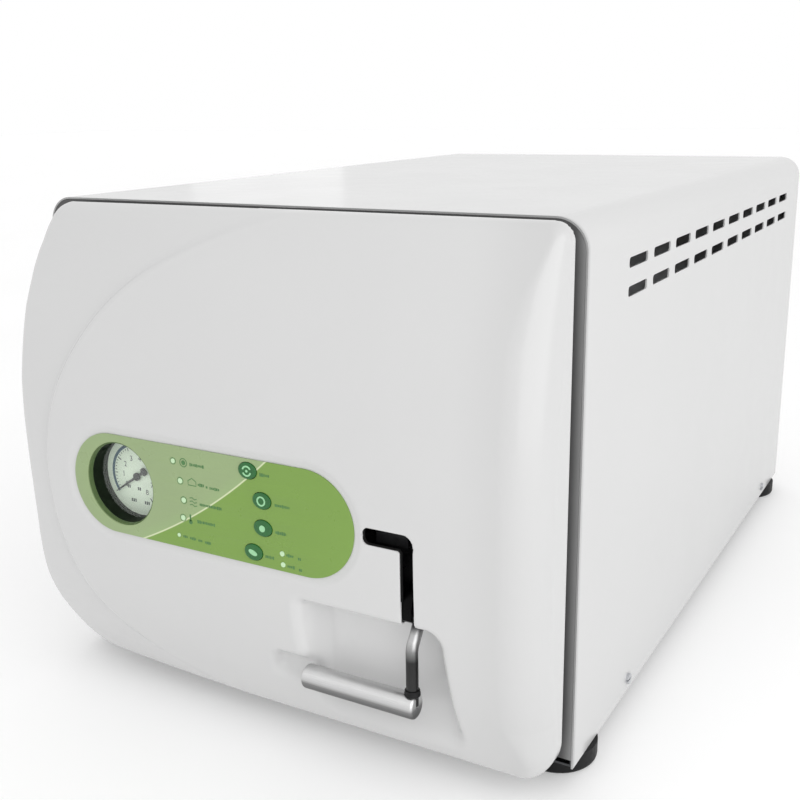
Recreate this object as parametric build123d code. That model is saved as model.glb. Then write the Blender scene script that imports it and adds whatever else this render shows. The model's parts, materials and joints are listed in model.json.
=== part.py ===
from build123d import *
import os
import math

os.makedirs("parts", exist_ok=True)

# ---------------------------------------------------------------------------
# Bench autoclave with a side-hinged door.  Millimetres, +Z up, the door faces
# -Y, +X is the latch side.  Everything is drawn with the casing's front plane
# at Y = 0 and its bottom edge at Z = 0, and moved at the end so that the
# origin is at the middle of the footprint on the bench.
# ---------------------------------------------------------------------------
CASE_W = 425.0          # casing width
CASE_H = 355.0          # casing height without feet
CASE_D = 650.0          # casing depth
CASE_R = 20.0           # radius of the casing's two top edges
SHEET = 1.2             # painted sheet steel
FOOT_H = 14.0           # foot height under the casing
FOOT_R = 28.0
DOOR_REAR = -15.0       # rear rim of the door cover
FACE_Y = -61.0          # flat of the door's face
WALL = 3.0              # wall of the moulded cover
BENCH_Z = FOOT_H        # lifts the drawing frame onto the bench
Y_REAR = 676.0          # rearmost point, the exhaust stub's tip
Y_FRONT = -63.75        # foremost point, the lever grip
SHIFT_Y = -(Y_REAR + Y_FRONT) / 2.0

CH_Z = 185.0            # chamber axis height
CH_R = 125.0            # chamber inner radius
CH_T = 2.5              # chamber wall
HINGE_X, HINGE_Y = -206.0, -8.5
GAUGE_X, GAUGE_Z = -105.0, 163.0
LEVER_X = 125.5         # latch lever, closed
PIVOT_Y, PIVOT_Z = -41.0, 162.5
GRIP_Y, GRIP_Z, GRIP_R = -55.5, 51.0, 8.25
LATCH_TRAVEL = 25.0

OUT = []


def box(x0, x1, y0, y1, z0, z1):
    return Pos((x0 + x1) / 2, (y0 + y1) / 2, (z0 + z1) / 2) * Box(x1 - x0, y1 - y0, z1 - z0)


def cyl_y(x, z, r, y0, y1):
    return Pos(x, (y0 + y1) / 2, z) * Rot(90, 0, 0) * Cylinder(r, y1 - y0)


def cyl_x(y, z, r, x0, x1):
    return Pos((x0 + x1) / 2, y, z) * Rot(0, 90, 0) * Cylinder(r, x1 - x0)


def cyl_z(x, y, r, z0, z1):
    return Pos(x, y, (z0 + z1) / 2) * Cylinder(r, z1 - z0)


def ring_y(x, z, r_out, r_in, y0, y1):
    return cyl_y(x, z, r_out, y0, y1) - cyl_y(x, z, r_in, y0 - 1, y1 + 1)


def on_plane(plane, edges):
    if isinstance(edges, list):
        return [plane * e for e in edges]
    return plane * edges


def prism_xz(wire_edges, y0, y1):
    """Solid from a closed outline given as (x, z) edges, from y0 to y1."""
    face = make_face(on_plane(Plane.XZ, wire_edges))
    return Pos(0, y0, 0) * extrude(face, amount=y1 - y0, dir=(0, 1, 0))


def prism_yz(wire_edges, x0, x1):
    face = make_face(on_plane(Plane.YZ, wire_edges))
    return Pos(x0, 0, 0) * extrude(face, amount=x1 - x0, dir=(1, 0, 0))


def prism_xy(wire_edges, z0, z1):
    face = make_face(on_plane(Plane.XY, wire_edges))
    return Pos(0, 0, z0) * extrude(face, amount=z1 - z0, dir=(0, 0, 1))


def rrect_xz(x0, x1, z0, z1, r, y0, y1):
    """Rounded rectangle prism; r is one radius, or four (bottom-left,
    bottom-right, top-right, top-left)."""
    rr = [r] * 4 if not isinstance(r, (list, tuple)) else list(r)
    return prism_xz(FilletPolyline((x0, z0), (x1, z0), (x1, z1), (x0, z1), radius=rr, close=True), y0, y1)


def stadium_xz(x0, x1, z0, z1, y0, y1):
    r = (z1 - z0) / 2
    zc = (z0 + z1) / 2
    s = box(x0 + r, x1 - r, y0, y1, z0, z1)
    return s + cyl_y(x0 + r, zc, r, y0, y1) + cyl_y(x1 - r, zc, r, y0, y1)


def oval_xz(x, z, w, h, y0, y1):
    """Stadium with its long side along X."""
    r = h / 2
    return box(x - w / 2 + r, x + w / 2 - r, y0, y1, z - r, z + r) + cyl_y(x - w / 2 + r, z, r, y0, y1) + cyl_y(x + w / 2 - r, z, r, y0, y1)


def out(name, shape):
    s = Pos(0, SHIFT_Y, BENCH_Z) * shape
    export_step(s, "parts/" + name + ".step")
    OUT.append((name, s))


def group(parts):
    return Compound(children=[p for q in parts for p in (q.solids() if hasattr(q, "solids") else [q])])


# --------------------------------------------------------------- casing
def u_section(w, h, r, y0, y1, z_low):
    """Top-rounded block: width w, from z_low to h, both top edges rounded."""
    return rrect_xz(-w / 2, w / 2, z_low - 40, h, [1, 1, r, r], y0, y1) & box(-w, w, y0 - 5, y1 + 5, z_low, h + 10)


shell = u_section(CASE_W, CASE_H, CASE_R, 0, CASE_D, 0)
shell -= u_section(CASE_W - 2 * SHEET, CASE_H - SHEET, CASE_R - SHEET, -5, CASE_D + 5, -5)
VENT_Y = [95.5 + 52.5 * i for i in range(10)]
cuts = []
for yc in VENT_Y:
    for zc in (319.0, 300.4):
        f = FilletPolyline((yc - 19.5, zc - 3.4), (yc + 19.5, zc - 3.4), (yc + 19.5, zc + 3.4), (yc - 19.5, zc + 3.4), radius=2.4, close=True)
        cuts.append(prism_yz(f, -230, 230))
SIDE_SCREWS = [(111.0, 10.0), (570.0, 9.0)]
for (yc, zc) in SIDE_SCREWS:
    cuts.append(cyl_x(yc, zc, 2.1, -230, 230))
shell = shell - cuts
out("casing_shell", shell)

inner_w = CASE_W - 2 * SHEET
pan = box(-inner_w / 2, inner_w / 2, 2, CASE_D - 3, 0, 1.5)
pan += box(-inner_w / 2, -inner_w / 2 + 1.5, 2, CASE_D - 3, 0, 24)
pan += box(inner_w / 2 - 1.5, inner_w / 2, 2, CASE_D - 3, 0, 24)
FEET = [(x, y) for x in (-188.0, 188.0) for y in (34.0, 616.0)]
pan -= [cyl_z(x, y, 2.6, -1, 3) for (x, y) in FEET]
pan -= [cyl_x(yc, zc, 2.1, -230, 230) for (yc, zc) in SIDE_SCREWS]
out("base_pan", pan)

screws = []
for (yc, zc) in SIDE_SCREWS:
    for sgn in (-1, 1):
        x_out = sgn * CASE_W / 2
        head = cyl_x(yc, zc, 4.0, min(x_out, x_out + sgn * 2), max(x_out, x_out + sgn * 2))
        head -= box(x_out + sgn * 2 - 1.2, x_out + sgn * 2 + 1.2, yc - 5, yc + 5, zc - 0.5, zc + 0.5)
        a, b = sorted((x_out, x_out - sgn * 9))
        screws.append(head + cyl_x(yc, zc, 2.0, a, b))

front = u_section(inner_w - 0.4, CASE_H - SHEET - 0.2, CASE_R - SHEET - 0.2, 0, 1.5, 6)
front -= cyl_y(0, CH_Z, 151.0, -3, 4)
front_screws_xz = [(-200, 134), (-165, 134), (-200, 236), (-165, 236), (168, 143), (192, 143), (168, 182), (192, 182)]
front -= [cyl_y(x, z, 2.1, -3, 4) for (x, z) in front_screws_xz]
out("front_panel", front)

BARB = (-70.0, 100.0)       # exhaust hose stub (x, z)
SAFE = (70.0, 262.0)        # safety valve
INLET = (150.0, 48.0)
ROCK = (96.0, 48.0)
FUSES = [(52.0, 40.0), (52.0, 60.0)]
rear = u_section(inner_w - 0.4, CASE_H - SHEET - 0.2, CASE_R - SHEET - 0.2, CASE_D - 1.5, CASE_D, 2)
rear -= cyl_y(BARB[0], BARB[1], 6.6, 640, 660)
rear -= cyl_y(SAFE[0], SAFE[1], 9.1, 640, 660)
rear -= box(INLET[0] - 13.7, INLET[0] + 13.7, 640, 660, INLET[1] - 10.2, INLET[1] + 10.2)
rear -= box(ROCK[0] - 10.7, ROCK[0] + 10.7, 640, 660, ROCK[1] - 14.2, ROCK[1] + 14.2)
rear -= [cyl_y(x, z, 6.3, 640, 660) for (x, z) in FUSES]
rear -= [rrect_xz(-150 + 26 * i, -138 + 26 * i, 285, 325, 5.5, 640, 660) for i in range(1, 11)]
REAR_SCREWS = [(-200, 20), (200, 20), (-200, 180), (200, 180), (-185, 340), (185, 340)]
rear -= [cyl_y(x, z, 2.1, 640, 660) for (x, z) in REAR_SCREWS]
out("rear_panel", rear)
rs = []
for (x, z) in REAR_SCREWS:
    h = cyl_y(x, z, 4.0, CASE_D, CASE_D + 2)
    h -= box(x - 5, x + 5, CASE_D + 1.2, CASE_D + 3, z - 0.5, z + 0.5)
    rs.append(h + cyl_y(x, z, 2.0, CASE_D - 9, CASE_D))
out("casing_screws", group(screws + rs))

feet, fscr = [], []
for (x, y) in FEET:
    f = cyl_z(x, y, FOOT_R, -FOOT_H, 0)
    f = fillet(f.edges().filter_by(GeomType.CIRCLE).group_by(Axis.Z)[0], 4.0)
    f = f - cyl_z(x, y, 2.6, -20, 1) - cyl_z(x, y, 7.0, -20, -7)
    feet.append(f)
    fscr.append(cyl_z(x, y, 5.5, -11, -7) + cyl_z(x, y, 2.5, -7, 6))
out("rubber_feet", group(feet))
out("foot_screws", group(fscr))

# --------------------------------------------------------------- chamber
# Flange that the door gasket closes on, and the welded vessel behind it.
out("chamber_flange", ring_y(0, CH_Z, 150.0, CH_R, -2, 10))
VR = CH_R + CH_T


def quarter(r, depth, y0):
    """Quarter ellipse from (r, y0) to the axis at (0, y0 + depth)."""
    return Spline([(r * math.cos(i * math.pi / 16), y0 + depth * math.sin(i * math.pi / 16)) for i in range(9)], tangents=[(0, 1), (-1, 0)])


def dome(r, y0, depth):
    """Solid half-ellipsoid about the chamber axis, from y0 backwards."""
    face = make_face([Line((0, y0), (r, y0)), quarter(r, depth, y0), Line((0, y0 + depth), (0, y0))])
    return Pos(0, 0, CH_Z) * revolve(face, Axis.Y, 360)


# rolled shell, and the dished back welded to it
out("chamber_vessel", ring_y(0, CH_Z, VR, CH_R, 10, 440))
back_face = make_face([Line((CH_R, 440), (VR, 440)), quarter(VR, 36, 440), Line((0, 476), (0, 476 - CH_T)), quarter(CH_R, 36 - CH_T, 440)])
back = Pos(0, 0, CH_Z) * revolve(back_face, Axis.Y, 360)
SENSOR = (0.0, 250.0)
ports = [(SAFE[0], SAFE[1], 3.0), (BARB[0], BARB[1], 3.0)]
back -= [cyl_y(x, z, r, 440, 500) for (x, z, r) in ports]
out("chamber_back", back)

ins = ring_y(0, CH_Z, 156.0, 131.6, 14, 490) - box(-200, 200, 600, 700, 0, 300)
ins += ring_y(0, CH_Z, 156.0, 0.5, 482, 494)
ins = cyl_y(0, CH_Z, 156.0, 14, 494) - cyl_y(0, CH_Z, 131.6, 10, 482)
ins -= [cyl_y(x, z, 5.4, 470, 500) for (x, z, r) in ports]
out("chamber_insulation", ins)
hb = ring_y(0, CH_Z, 131.2, VR + 0.1, 170, 330) - box(-6, 6, 160, 340, CH_Z + 100, CH_Z + 140)
out("heater_band", hb)
cr = []
for y0 in (96.0, 404.0):
    c = box(-128, 128, y0, y0 + 2.5, 3.0, 108) + box(-128, 128, y0, y0 + 22, 1.5, 3.5)
    c -= cyl_y(0, CH_Z, 156.2, y0 - 5, y0 + 30)
    cr.append(c)
out("chamber_cradles", group(cr))

# Tray rack: two side plates with runners, tied by rods; it stands on the
# chamber's wall with its four lower edges.
RX = 90.0
rack = None
TRAY_Z = [128.0, 182.0, 236.0]
for s in (-1, 1):
    a, b = sorted((s * RX, s * (RX + 1.5)))
    p = box(a, b, 40, 430, 100.4, 262)
    p -= [box(a - 1, b + 1, 62 + 96 * i, 62 + 96 * i + 62, z + 10, z + 40) for i in range(4) for z in TRAY_Z[:2]]
    for z in TRAY_Z:
        c, d = sorted((s * (RX - 9), s * RX))
        p += box(c, d, 40, 430, z - 1.5, z)
    rack = p if rack is None else rack + p
for (y, z) in ((46, 108), (424, 108), (424, 256)):
    rack += cyl_x(y, z, 3.0, -RX - 0.2, RX + 0.2)
out("tray_rack", rack)
for i, z in enumerate(TRAY_Z):
    t = box(-86, 86, 38, 420, z + 0.3, z + 16) - box(-85, 85, 39, 419, z + 1.3, z + 20)
    t -= [cyl_z(-66 + 22 * k, 62 + 24 * j, 4.0, z - 2, z + 3) for k in range(7) for j in range(15)]
    out("tray_%d" % (i + 1), t)

# --------------------------------------------------------------- hinge
br = box(-209, -158, -2.2, 0, 128, 242)
for (z0, z1) in ((140.0, 163.0), (207.0, 230.0)):
    br += cyl_z(HINGE_X, HINGE_Y, 6.0, z0, z1) + box(HINGE_X - 3, HINGE_X + 3, HINGE_Y, 0, z0, z1)
br -= cyl_z(HINGE_X, HINGE_Y, 3.0, 130, 240)
br -= [cyl_y(x, z, 2.1, -5, 4) for (x, z) in front_screws_xz[:4]]
out("hinge_bracket", br)
out("hinge_pin", cyl_z(HINGE_X, HINGE_Y, 2.98, 138, 232) + cyl_z(HINGE_X, HINGE_Y, 5.0, 232, 235))
hs = []
for (x, z) in front_screws_xz[:4]:
    hs.append(cyl_y(x, z, 3.6, -4.2, -2.2) + cyl_y(x, z, 2.0, -2.2, 8))
out("hinge_washers", group([cyl_z(HINGE_X, HINGE_Y, 5.8, 163.2, 164.4) - cyl_z(HINGE_X, HINGE_Y, 3.05, 160, 166),
                            cyl_z(HINGE_X, HINGE_Y, 5.8, 205.6, 206.8) - cyl_z(HINGE_X, HINGE_Y, 3.05, 204, 208)]))

# --------------------------------------------------------------- door cover
MAIN = [(-24, 355), (-30.5, 348), (-38, 332), (-47, 306), (-53.5, 278), (-58, 250), (-60.4, 225), (FACE_Y, 200)]
MAIN_LOW = [(FACE_Y, 115), (-59.5, 92), (-55.5, 66), (-51, 50), (-46.5, 35), (-41, 20), (-33, 3.5)]
BAND = [(-18, 354.5), (-24, 345), (-31, 333), (-38, 318), (-43, 300), (-46.5, 280), (-49, 258), (-51, 236), (-52.2, 205)]
BAND_LOW = [(-51.5, 170), (-50.4, 142), (-49.3, 104), (-46.6, 78), (-43, 60), (-38, 42), (-33, 27), (-24, 3.5)]


def inset(points, t):
    """Points moved by t to the inside (towards +Y) of a curve that runs from
    the top to the bottom of the door's front."""
    res = []
    n = len(points)
    for i, (y, z) in enumerate(points):
        a = points[max(i - 1, 0)]
        b = points[min(i + 1, n - 1)]
        dy, dz = b[0] - a[0], b[1] - a[1]
        l = math.hypot(dy, dz)
        res.append((y - dz / l * t, z + dy / l * t))
    return res


def door_block(top, low, x0, x1, t=0.0, rear=DOOR_REAR):
    """Extruded door section; with t > 0 the inner side of a wall t thick."""
    a = inset(top, t) if t else list(top)
    b = inset(low, t) if t else list(low)
    z_top = top[0][1] - t
    z_low = low[-1][1] + t
    a[0] = (a[0][0], z_top)
    b[-1] = (b[-1][0], z_low)
    edges = [Line((rear, z_top), a[0]), Spline(a), Line(a[-1], b[0]), Spline(b), Line(b[-1], (rear, z_low)), Line((rear, z_low), (rear, z_top))]
    return prism_yz(edges, x0, x1)


def door_outline(t=0.0):
    return rrect_xz(-210 + t, 210.3 - t, 3.0 + t, 355.5 - t, [74 - t, 24 - t, 12 - t, 58 - t], -80, 10)


def door_plan(t=0.0):
    """Plan of the front: small rounding on the hinge side, large on the other."""
    return prism_xy(FilletPolyline((-210 + t, 20), (-210 + t, FACE_Y - 2 + t), (210.3 - t, FACE_Y - 2 + t), (210.3 - t, 20),
                                   radius=[1, 9 - t, 30 - t, 1], close=True), -10, 370)


CREASE = [(32, 362), (-53, 329), (-100, 303), (-132, 272), (-156, 240), (-171, 210), (-178, 175), (-176, 143), (-168, 110), (-152, 76), (-128, 50), (-100, 30), (-60, 12), (-20, -4)]


def crescent(t=0.0):
    pts = [(x + t, z) for (x, z) in CREASE]
    return prism_xz([Spline(pts), Line(pts[-1], (240, -4)), Line((240, -4), (240, 362)), Line((240, 362), pts[0])], -80, 10)


def door_solid(t=0.0, rear=DOOR_REAR):
    main = door_block(MAIN, MAIN_LOW, -230, 230, t, rear) & crescent(t)
    band = door_block(BAND, BAND_LOW, -230, 230, t, rear)
    return (main + band) & door_outline(t) & door_plan(t)


outer = door_solid()
inner = door_solid(WALL, rear=-5.0)


# hand recess: pocket behind the latch grip
def pocket(t=0.0):
    pts = [(-90, 107 + t), (-30 + t, 107 + t), (-30 + t, 48 - t), (-38, 42 - t * 1.2), (-52, 33 - t * 1.2), (-60, 25 - t), (-90, 25 - t)]
    p = prism_yz(FilletPolyline(*pts, radius=[0.5, 6, 8, 4, 2, 0.5, 0.5], close=True), 46 - t, 152 + t)
    return p


def scallop(t=0.0):
    return box(13.5 - t, 60, -90, -46.4 + t, 41.4 - t, 60.6 + t)


cover = outer - inner
cover += (pocket(WALL) + scallop(WALL)) & outer
cover = cover - pocket() - scallop()
# ceiling of the recess: opening for the lever's rod over the whole slide
cover -= box(LEVER_X - LATCH_TRAVEL - 5.5, LEVER_X + 5.5, -53.5, -34, 100, 118)
# L-shaped slot
cover -= box(LEVER_X - 4.5, LEVER_X + 4.5, -80, -50, 100, 162.5)
cover -= rrect_xz(94.6, LEVER_X + 4.5, 157.0, 168.5, [5.4, 0.5, 5.4, 5.4], -80, -50)
# seat of the control plate, gauge hole, key and lens holes
cover -= stadium_xz(-150.5, 90.5, 123.6, 201.0, -80, -60.0)
cover -= cyl_y(GAUGE_X, GAUGE_Z, 30.5, -80, -50)
KEYS = [(8.5, 191.0), (18.9, 172.0), (18.8, 153.0), (10.2, 134.6)]
LEDS = [(-54.5, 188.0), (-49.3, 174.6), (-47.3, 161.0), (-48.8, 148.0), (-53.5, 134.5), (33.2, 138.0), (33.6, 130.4)]
cover -= [oval_xz(x, z, 13.8, 10.8, -80, -50) for (x, z) in KEYS]
cover -= [cyl_y(x, z, 1.6, -80, -50) for (x, z) in LEDS]
out("door_cover", cover)

ov = stadium_xz(-148.5, 88.5, 125.6, 199.0, -60.8, -60.0)
ov -= cyl_y(GAUGE_X, GAUGE_Z, 30.8, -70, -50)
ov -= [oval_xz(x, z, 13.8, 10.8, -80, -50) for (x, z) in KEYS]
ov -= [cyl_y(x, z, 1.6, -80, -50) for (x, z) in LEDS]
out("control_overlay", ov)
for i, (x, z) in enumerate(KEYS):
    k = oval_xz(x, z, 13.0, 10.0, -61.8, -57.5) + oval_xz(x, z, 16.0, 13.0, -57.5, -54.2)
    out("key_%d" % (i + 1), k)
out("indicator_lenses", group([cyl_y(x, z, 1.5, -61.2, -54.0) for (x, z) in LEDS]))
pcb = box(-62, 44, -51.6, -50.0, 126, 198)
for (x, z) in KEYS:
    pcb += box(x - 3, x + 3, -53.3, -51.6, z - 3, z + 3)
for (x, z) in LEDS:
    pcb += box(x - 1, x + 1, -54.0, -51.6, z - 1, z + 1)
out("control_board", group([pcb] + [cyl_y(x, z, 3.0, -58.0, -51.6) for (x, z) in ((-59, 129), (-59, 195.5), (40.5, 194), (22, 143.5))]))


# gauge
case = cyl_y(GAUGE_X, GAUGE_Z, 32.5, -56.5, -29.0) - cyl_y(GAUGE_X, GAUGE_Z, 29.6, -60, -31.0)
case -= cyl_y(GAUGE_X, GAUGE_Z, 5.0, -32, -28)
out("gauge_case", case)
out("gauge_dial", ring_y(GAUGE_X, GAUGE_Z, 29.4, 1.6, -42.6, -41.6))
nd_ang = math.radians(225)
nx, nz = math.sin(nd_ang), math.cos(nd_ang)
tip = (GAUGE_X + 23 * nx, GAUGE_Z + 23 * nz)
tail = (GAUGE_X - 8 * nx, GAUGE_Z - 8 * nz)
px, pz = nz * 1.0, -nx * 1.0
needle = prism_xz(Polyline((tip[0] + px * 0.25, tip[1] + pz * 0.25), (tip[0] - px * 0.25, tip[1] - pz * 0.25),
                           (tail[0] - px * 1.3, tail[1] - pz * 1.3), (tail[0] + px * 1.3, tail[1] + pz * 1.3), close=True), -44.4, -43.6)
needle += cyl_y(GAUGE_X, GAUGE_Z, 3.0, -45.2, -43.6) + cyl_y(GAUGE_X, GAUGE_Z, 1.5, -43.6, -37.0)
out("gauge_needle", needle)
out("gauge_movement", cyl_y(GAUGE_X, GAUGE_Z, 14.0, -41.0, -31.0) - cyl_y(GAUGE_X, GAUGE_Z, 1.58, -46, -36.5))
out("gauge_glass", cyl_y(GAUGE_X, GAUGE_Z, 29.4, -48.6, -46.8))
out("gauge_stem", cyl_y(GAUGE_X, GAUGE_Z, 4.9, -31.0, -14.0) + cyl_y(GAUGE_X, GAUGE_Z, 7.0, -29.0, -20.0))

# liner, arm and lid
liner = door_solid(WALL + 0.3, rear=-5.0) & box(-230, 230, -17, DOOR_REAR, 0, 360)
liner -= cyl_y(0, CH_Z, 26.0, -30, 0)
liner -= cyl_y(GAUGE_X, GAUGE_Z, 9.0, -30, 0)
liner -= box(-230, -188, -30, 0, 134, 236)
liner -= box(160, 202, -30, 0, 136, 190)
out("door_liner", liner)

arm = box(-205, 166, -27, -18, 173, 197)
arm += cyl_z(HINGE_X, HINGE_Y, 6.0, 164.6, 205.4) + box(-206, -194, -27, HINGE_Y, 164.6, 205.4)
arm -= cyl_z(HINGE_X, HINGE_Y, 3.05, 150, 220)
arm -= cyl_y(0, CH_Z, 6.05, -40, 0)
arm -= box(-230, -207, -40, -15.0, 150, 220)
out("cross_arm", arm)
lid = cyl_y(0, CH_Z, 145, -14, -4) + cyl_y(0, CH_Z, 22, -18, -14)
lid = lid - ring_y(0, CH_Z, 139.2, 127.8, -6.2, 0) - cyl_y(0, CH_Z, 6.05, -30, -8)
lid -= cyl_y(GAUGE_X, GAUGE_Z, 2.0, -20, 0)
out("pressure_lid", lid)
out("door_gasket", ring_y(0, CH_Z, 139.0, 128.0, -6.2, -2.15))
out("lid_bolt", cyl_y(0, CH_Z, 6.0, -27, -8) + cyl_y(0, CH_Z, 11.0, -35, -27))

# latch: guide on the arm, carriage with the bolt, lever
gd = box(66, 166, -29.6, -27, 144, 197)
gd += box(66, 166, -35.6, -29.6, 144.5, 149.9) + box(66, 166, -35.6, -32.4, 149.9, 153.6)
gd += box(66, 166, -35.6, -29.6, 175.1, 180.5) + box(66, 166, -35.6, -32.4, 171.4, 175.1)
out("latch_guide", gd)
carr = box(97, 153, -32.0, -29.9, 150.3, 174.7) + box(97, 153, -48, -32.0, 154.2, 170.8)
carr -= box(119.6, 131.4, -60, -33.4, 150, 176)
carr -= cyl_x(PIVOT_Y, PIVOT_Z, 2.55, 108, 143)
out("latch_carriage", carr)
out("latch_bolt", box(153, 185, -44.5, -35.0, 155.5, 169.5))
out("lever_pivot_pin", cyl_x(PIVOT_Y, PIVOT_Z, 2.5, 108.2, 142.8))
path = FilletPolyline((LEVER_X, PIVOT_Y, PIVOT_Z - 4), (LEVER_X, PIVOT_Y, 111), (LEVER_X, GRIP_Y, 91), (LEVER_X, GRIP_Y, GRIP_Z + 1), radius=9.0)
rod = sweep(Plane(origin=path @ 0, z_dir=path % 0) * Circle(4.0), path=path)
rod += cyl_x(PIVOT_Y, PIVOT_Z, 6.4, LEVER_X - 5.6, LEVER_X + 5.6)
rod -= cyl_x(PIVOT_Y, PIVOT_Z, 2.55, LEVER_X - 10, LEVER_X + 10)
out("lever_rod", rod)
out("lever_collar", cyl_z(LEVER_X, GRIP_Y, 5.5, GRIP_Z + 8.4, GRIP_Z + 14.0) - cyl_z(LEVER_X, GRIP_Y, 4.05, 50, 80))
grip = cyl_x(GRIP_Y, GRIP_Z, GRIP_R, 45, 129)
grip = chamfer(grip.edges().filter_by(GeomType.CIRCLE), 0.6)
grip -= cyl_z(LEVER_X, GRIP_Y, 4.05, GRIP_Z + 0.9, 80)
out("lever_grip", grip)

# keeper on the casing: block with two cheeks above and below the bolt
kp = box(162, 198, -3, 0, 138, 187) + box(172, 184, -33, -3, 148, 177)
kp += box(172, 184, -46, -33, 148, 153.8) + box(172, 184, -46, -33, 171.2, 177)
kp -= [cyl_y(x, z, 2.1, -8, 4) for (x, z) in front_screws_xz[4:]]
out("keeper", kp)
out("panel_screws", group(hs + [cyl_y(x, z, 3.6, -5, -3) + cyl_y(x, z, 2.0, -3, 8) for (x, z) in front_screws_xz[4:]]))

# --------------------------------------------------------------- rear fittings
# mains inlet: moulded socket with three flat pins
ix, iz = INLET
inl = box(ix - 24.5, ix + 24.5, CASE_D, CASE_D + 3, iz - 12, iz + 12) + box(ix - 13.4, ix + 13.4, CASE_D - 26, CASE_D, iz - 9.9, iz + 9.9)
inl -= box(ix - 11.9, ix + 11.9, CASE_D - 14, CASE_D + 5, iz - 8.0, iz + 8.0)
out("mains_inlet", inl)
out("inlet_pins", group([box(ix - 8, ix - 6, CASE_D - 14, CASE_D, iz - 4, iz), box(ix + 6, ix + 8, CASE_D - 14, CASE_D, iz - 4, iz),
                         box(ix - 1, ix + 1, CASE_D - 14, CASE_D, iz, iz + 4)]))
# rocker switch
rx, rz = ROCK
sb = box(rx - 12.5, rx + 12.5, CASE_D, CASE_D + 2, rz - 16, rz + 16) + box(rx - 10.4, rx + 10.4, CASE_D - 24, CASE_D, rz - 13.9, rz + 13.9)
sb -= box(rx - 8.6, rx + 8.6, CASE_D - 14, CASE_D + 5, rz - 12.6, rz + 12.6)
RP = CASE_D - 3.0
sb -= cyl_x(RP, rz, 1.55, rx - 10.0, rx + 10.0)
out("switch_body", sb)
prof = [(-5, -6), (-5, 6), (0.5, 11.6), (6.2, 11.6), (4.4, 0), (6.2, -11.6), (0.5, -11.6)]
rk = prism_yz(Polyline(*[(RP + a, rz + b) for (a, b) in prof], close=True), rx - 8.2, rx + 8.2)
rk += cyl_x(RP, rz, 1.5, rx - 9.7, rx + 9.7)
rk = Pos(0, RP, rz) * Rot(-7, 0, 0) * Pos(0, -RP, -rz) * rk
out("power_rocker", rk)
fh = []
for (x, z) in FUSES:
    fh.append(cyl_y(x, z, 6.0, CASE_D - 30, CASE_D) + cyl_y(x, z, 8.0, CASE_D, CASE_D + 3) + (cyl_y(x, z, 5.5, CASE_D + 3, CASE_D + 9) - box(x - 6, x + 6, CASE_D + 8, CASE_D + 10, z - 0.8, z + 0.8)))
out("fuse_holders", group(fh))
# safety valve
sx, sz = SAFE
hexa = Pos(sx, CASE_D + 5, sz) * Rot(90, 0, 0) * extrude(RegularPolygon(11, 6), amount=5, both=True)
sv = cyl_y(sx, sz, 8.8, CASE_D - 22, CASE_D) + hexa + cyl_y(sx, sz, 7.0, CASE_D + 10, CASE_D + 14)
sv -= cyl_y(sx, sz, 2.6, CASE_D - 10, CASE_D + 20)
out("safety_valve_body", sv)
pull = cyl_y(sx, sz, 2.55, CASE_D - 6, CASE_D + 15) + cyl_y(sx, sz, 7.0, CASE_D + 14.6, CASE_D + 21)
pull -= [cyl_y(sx + 7.6 * math.cos(a), sz + 7.6 * math.sin(a), 1.2, CASE_D + 14, CASE_D + 22) for a in [i * math.pi / 6 for i in range(12)]]
out("safety_valve_pull", pull)


def dome_y(x, z, r, y0, depth):
    q = 1 - (math.hypot(x, z - CH_Z) / r) ** 2
    return y0 + depth * math.sqrt(max(q, 0))


def pipe_y(x, z, y0, y1, r=5.0, bore=3.0):
    return cyl_y(x, z, r, y0, y1) - cyl_y(x, z, bore, y0 - 1, y1 + 1)


ys = dome_y(sx, sz, VR, 440, 36)
sp = pipe_y(sx, sz, ys - 6, CASE_D - 22) - dome(VR, 440, 36)
bx, bz = BARB
sol = box(bx - 16, bx + 16, 536, 572, bz - 14, bz + 14) + cyl_z(bx, 554, 13, bz + 14, bz + 56)
sol -= cyl_y(bx, bz, 3.0, 530, 580)
out("solenoid_valve", sol)
yb = dome_y(bx, bz, VR, 440, 36)
ep = group([sp, pipe_y(bx, bz, yb - 6, 536) - dome(VR, 440, 36), pipe_y(bx, bz, 572, CASE_D - 14)])
out("steam_pipes", ep)
stub = cyl_y(bx, bz, 6.4, CASE_D - 14, CASE_D) + cyl_y(bx, bz, 9.5, CASE_D, CASE_D + 5) + cyl_y(bx, bz, 5.0, CASE_D + 5, Y_REAR)
stub -= cyl_y(bx, bz, 3.0, CASE_D - 20, Y_REAR + 1)
out("exhaust_stub", stub)
pb = box(-180, -60, 520, 620, 10, 11.6) + box(-170, -120, 540, 590, 11.6, 40) + box(-105, -75, 535, 560, 11.6, 30)
out("power_board", group([pb] + [cyl_z(x, y, 3.0, 1.5, 10) for x in (-175, -65) for y in (525, 615)]))
out("temperature_sensor", cyl_y(0, 250, 6.0, dome_y(0, 250, VR, 440, 36) + 2.5, 481.5))

# overall box, for placing the origin
lo = [1e9] * 3
hi = [-1e9] * 3
for name, s in OUT:
    b = s.bounding_box()
    for i, (a, c) in enumerate(zip((b.min.X, b.min.Y, b.min.Z), (b.max.X, b.max.Y, b.max.Z))):
        lo[i] = min(lo[i], a)
        hi[i] = max(hi[i], c)
print("nodes", len(OUT))
print("box", [round(v, 3) for v in lo], [round(v, 3) for v in hi])
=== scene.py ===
import json, math, random
import bpy, bmesh
import numpy as np
from mathutils import Vector, Matrix


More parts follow.
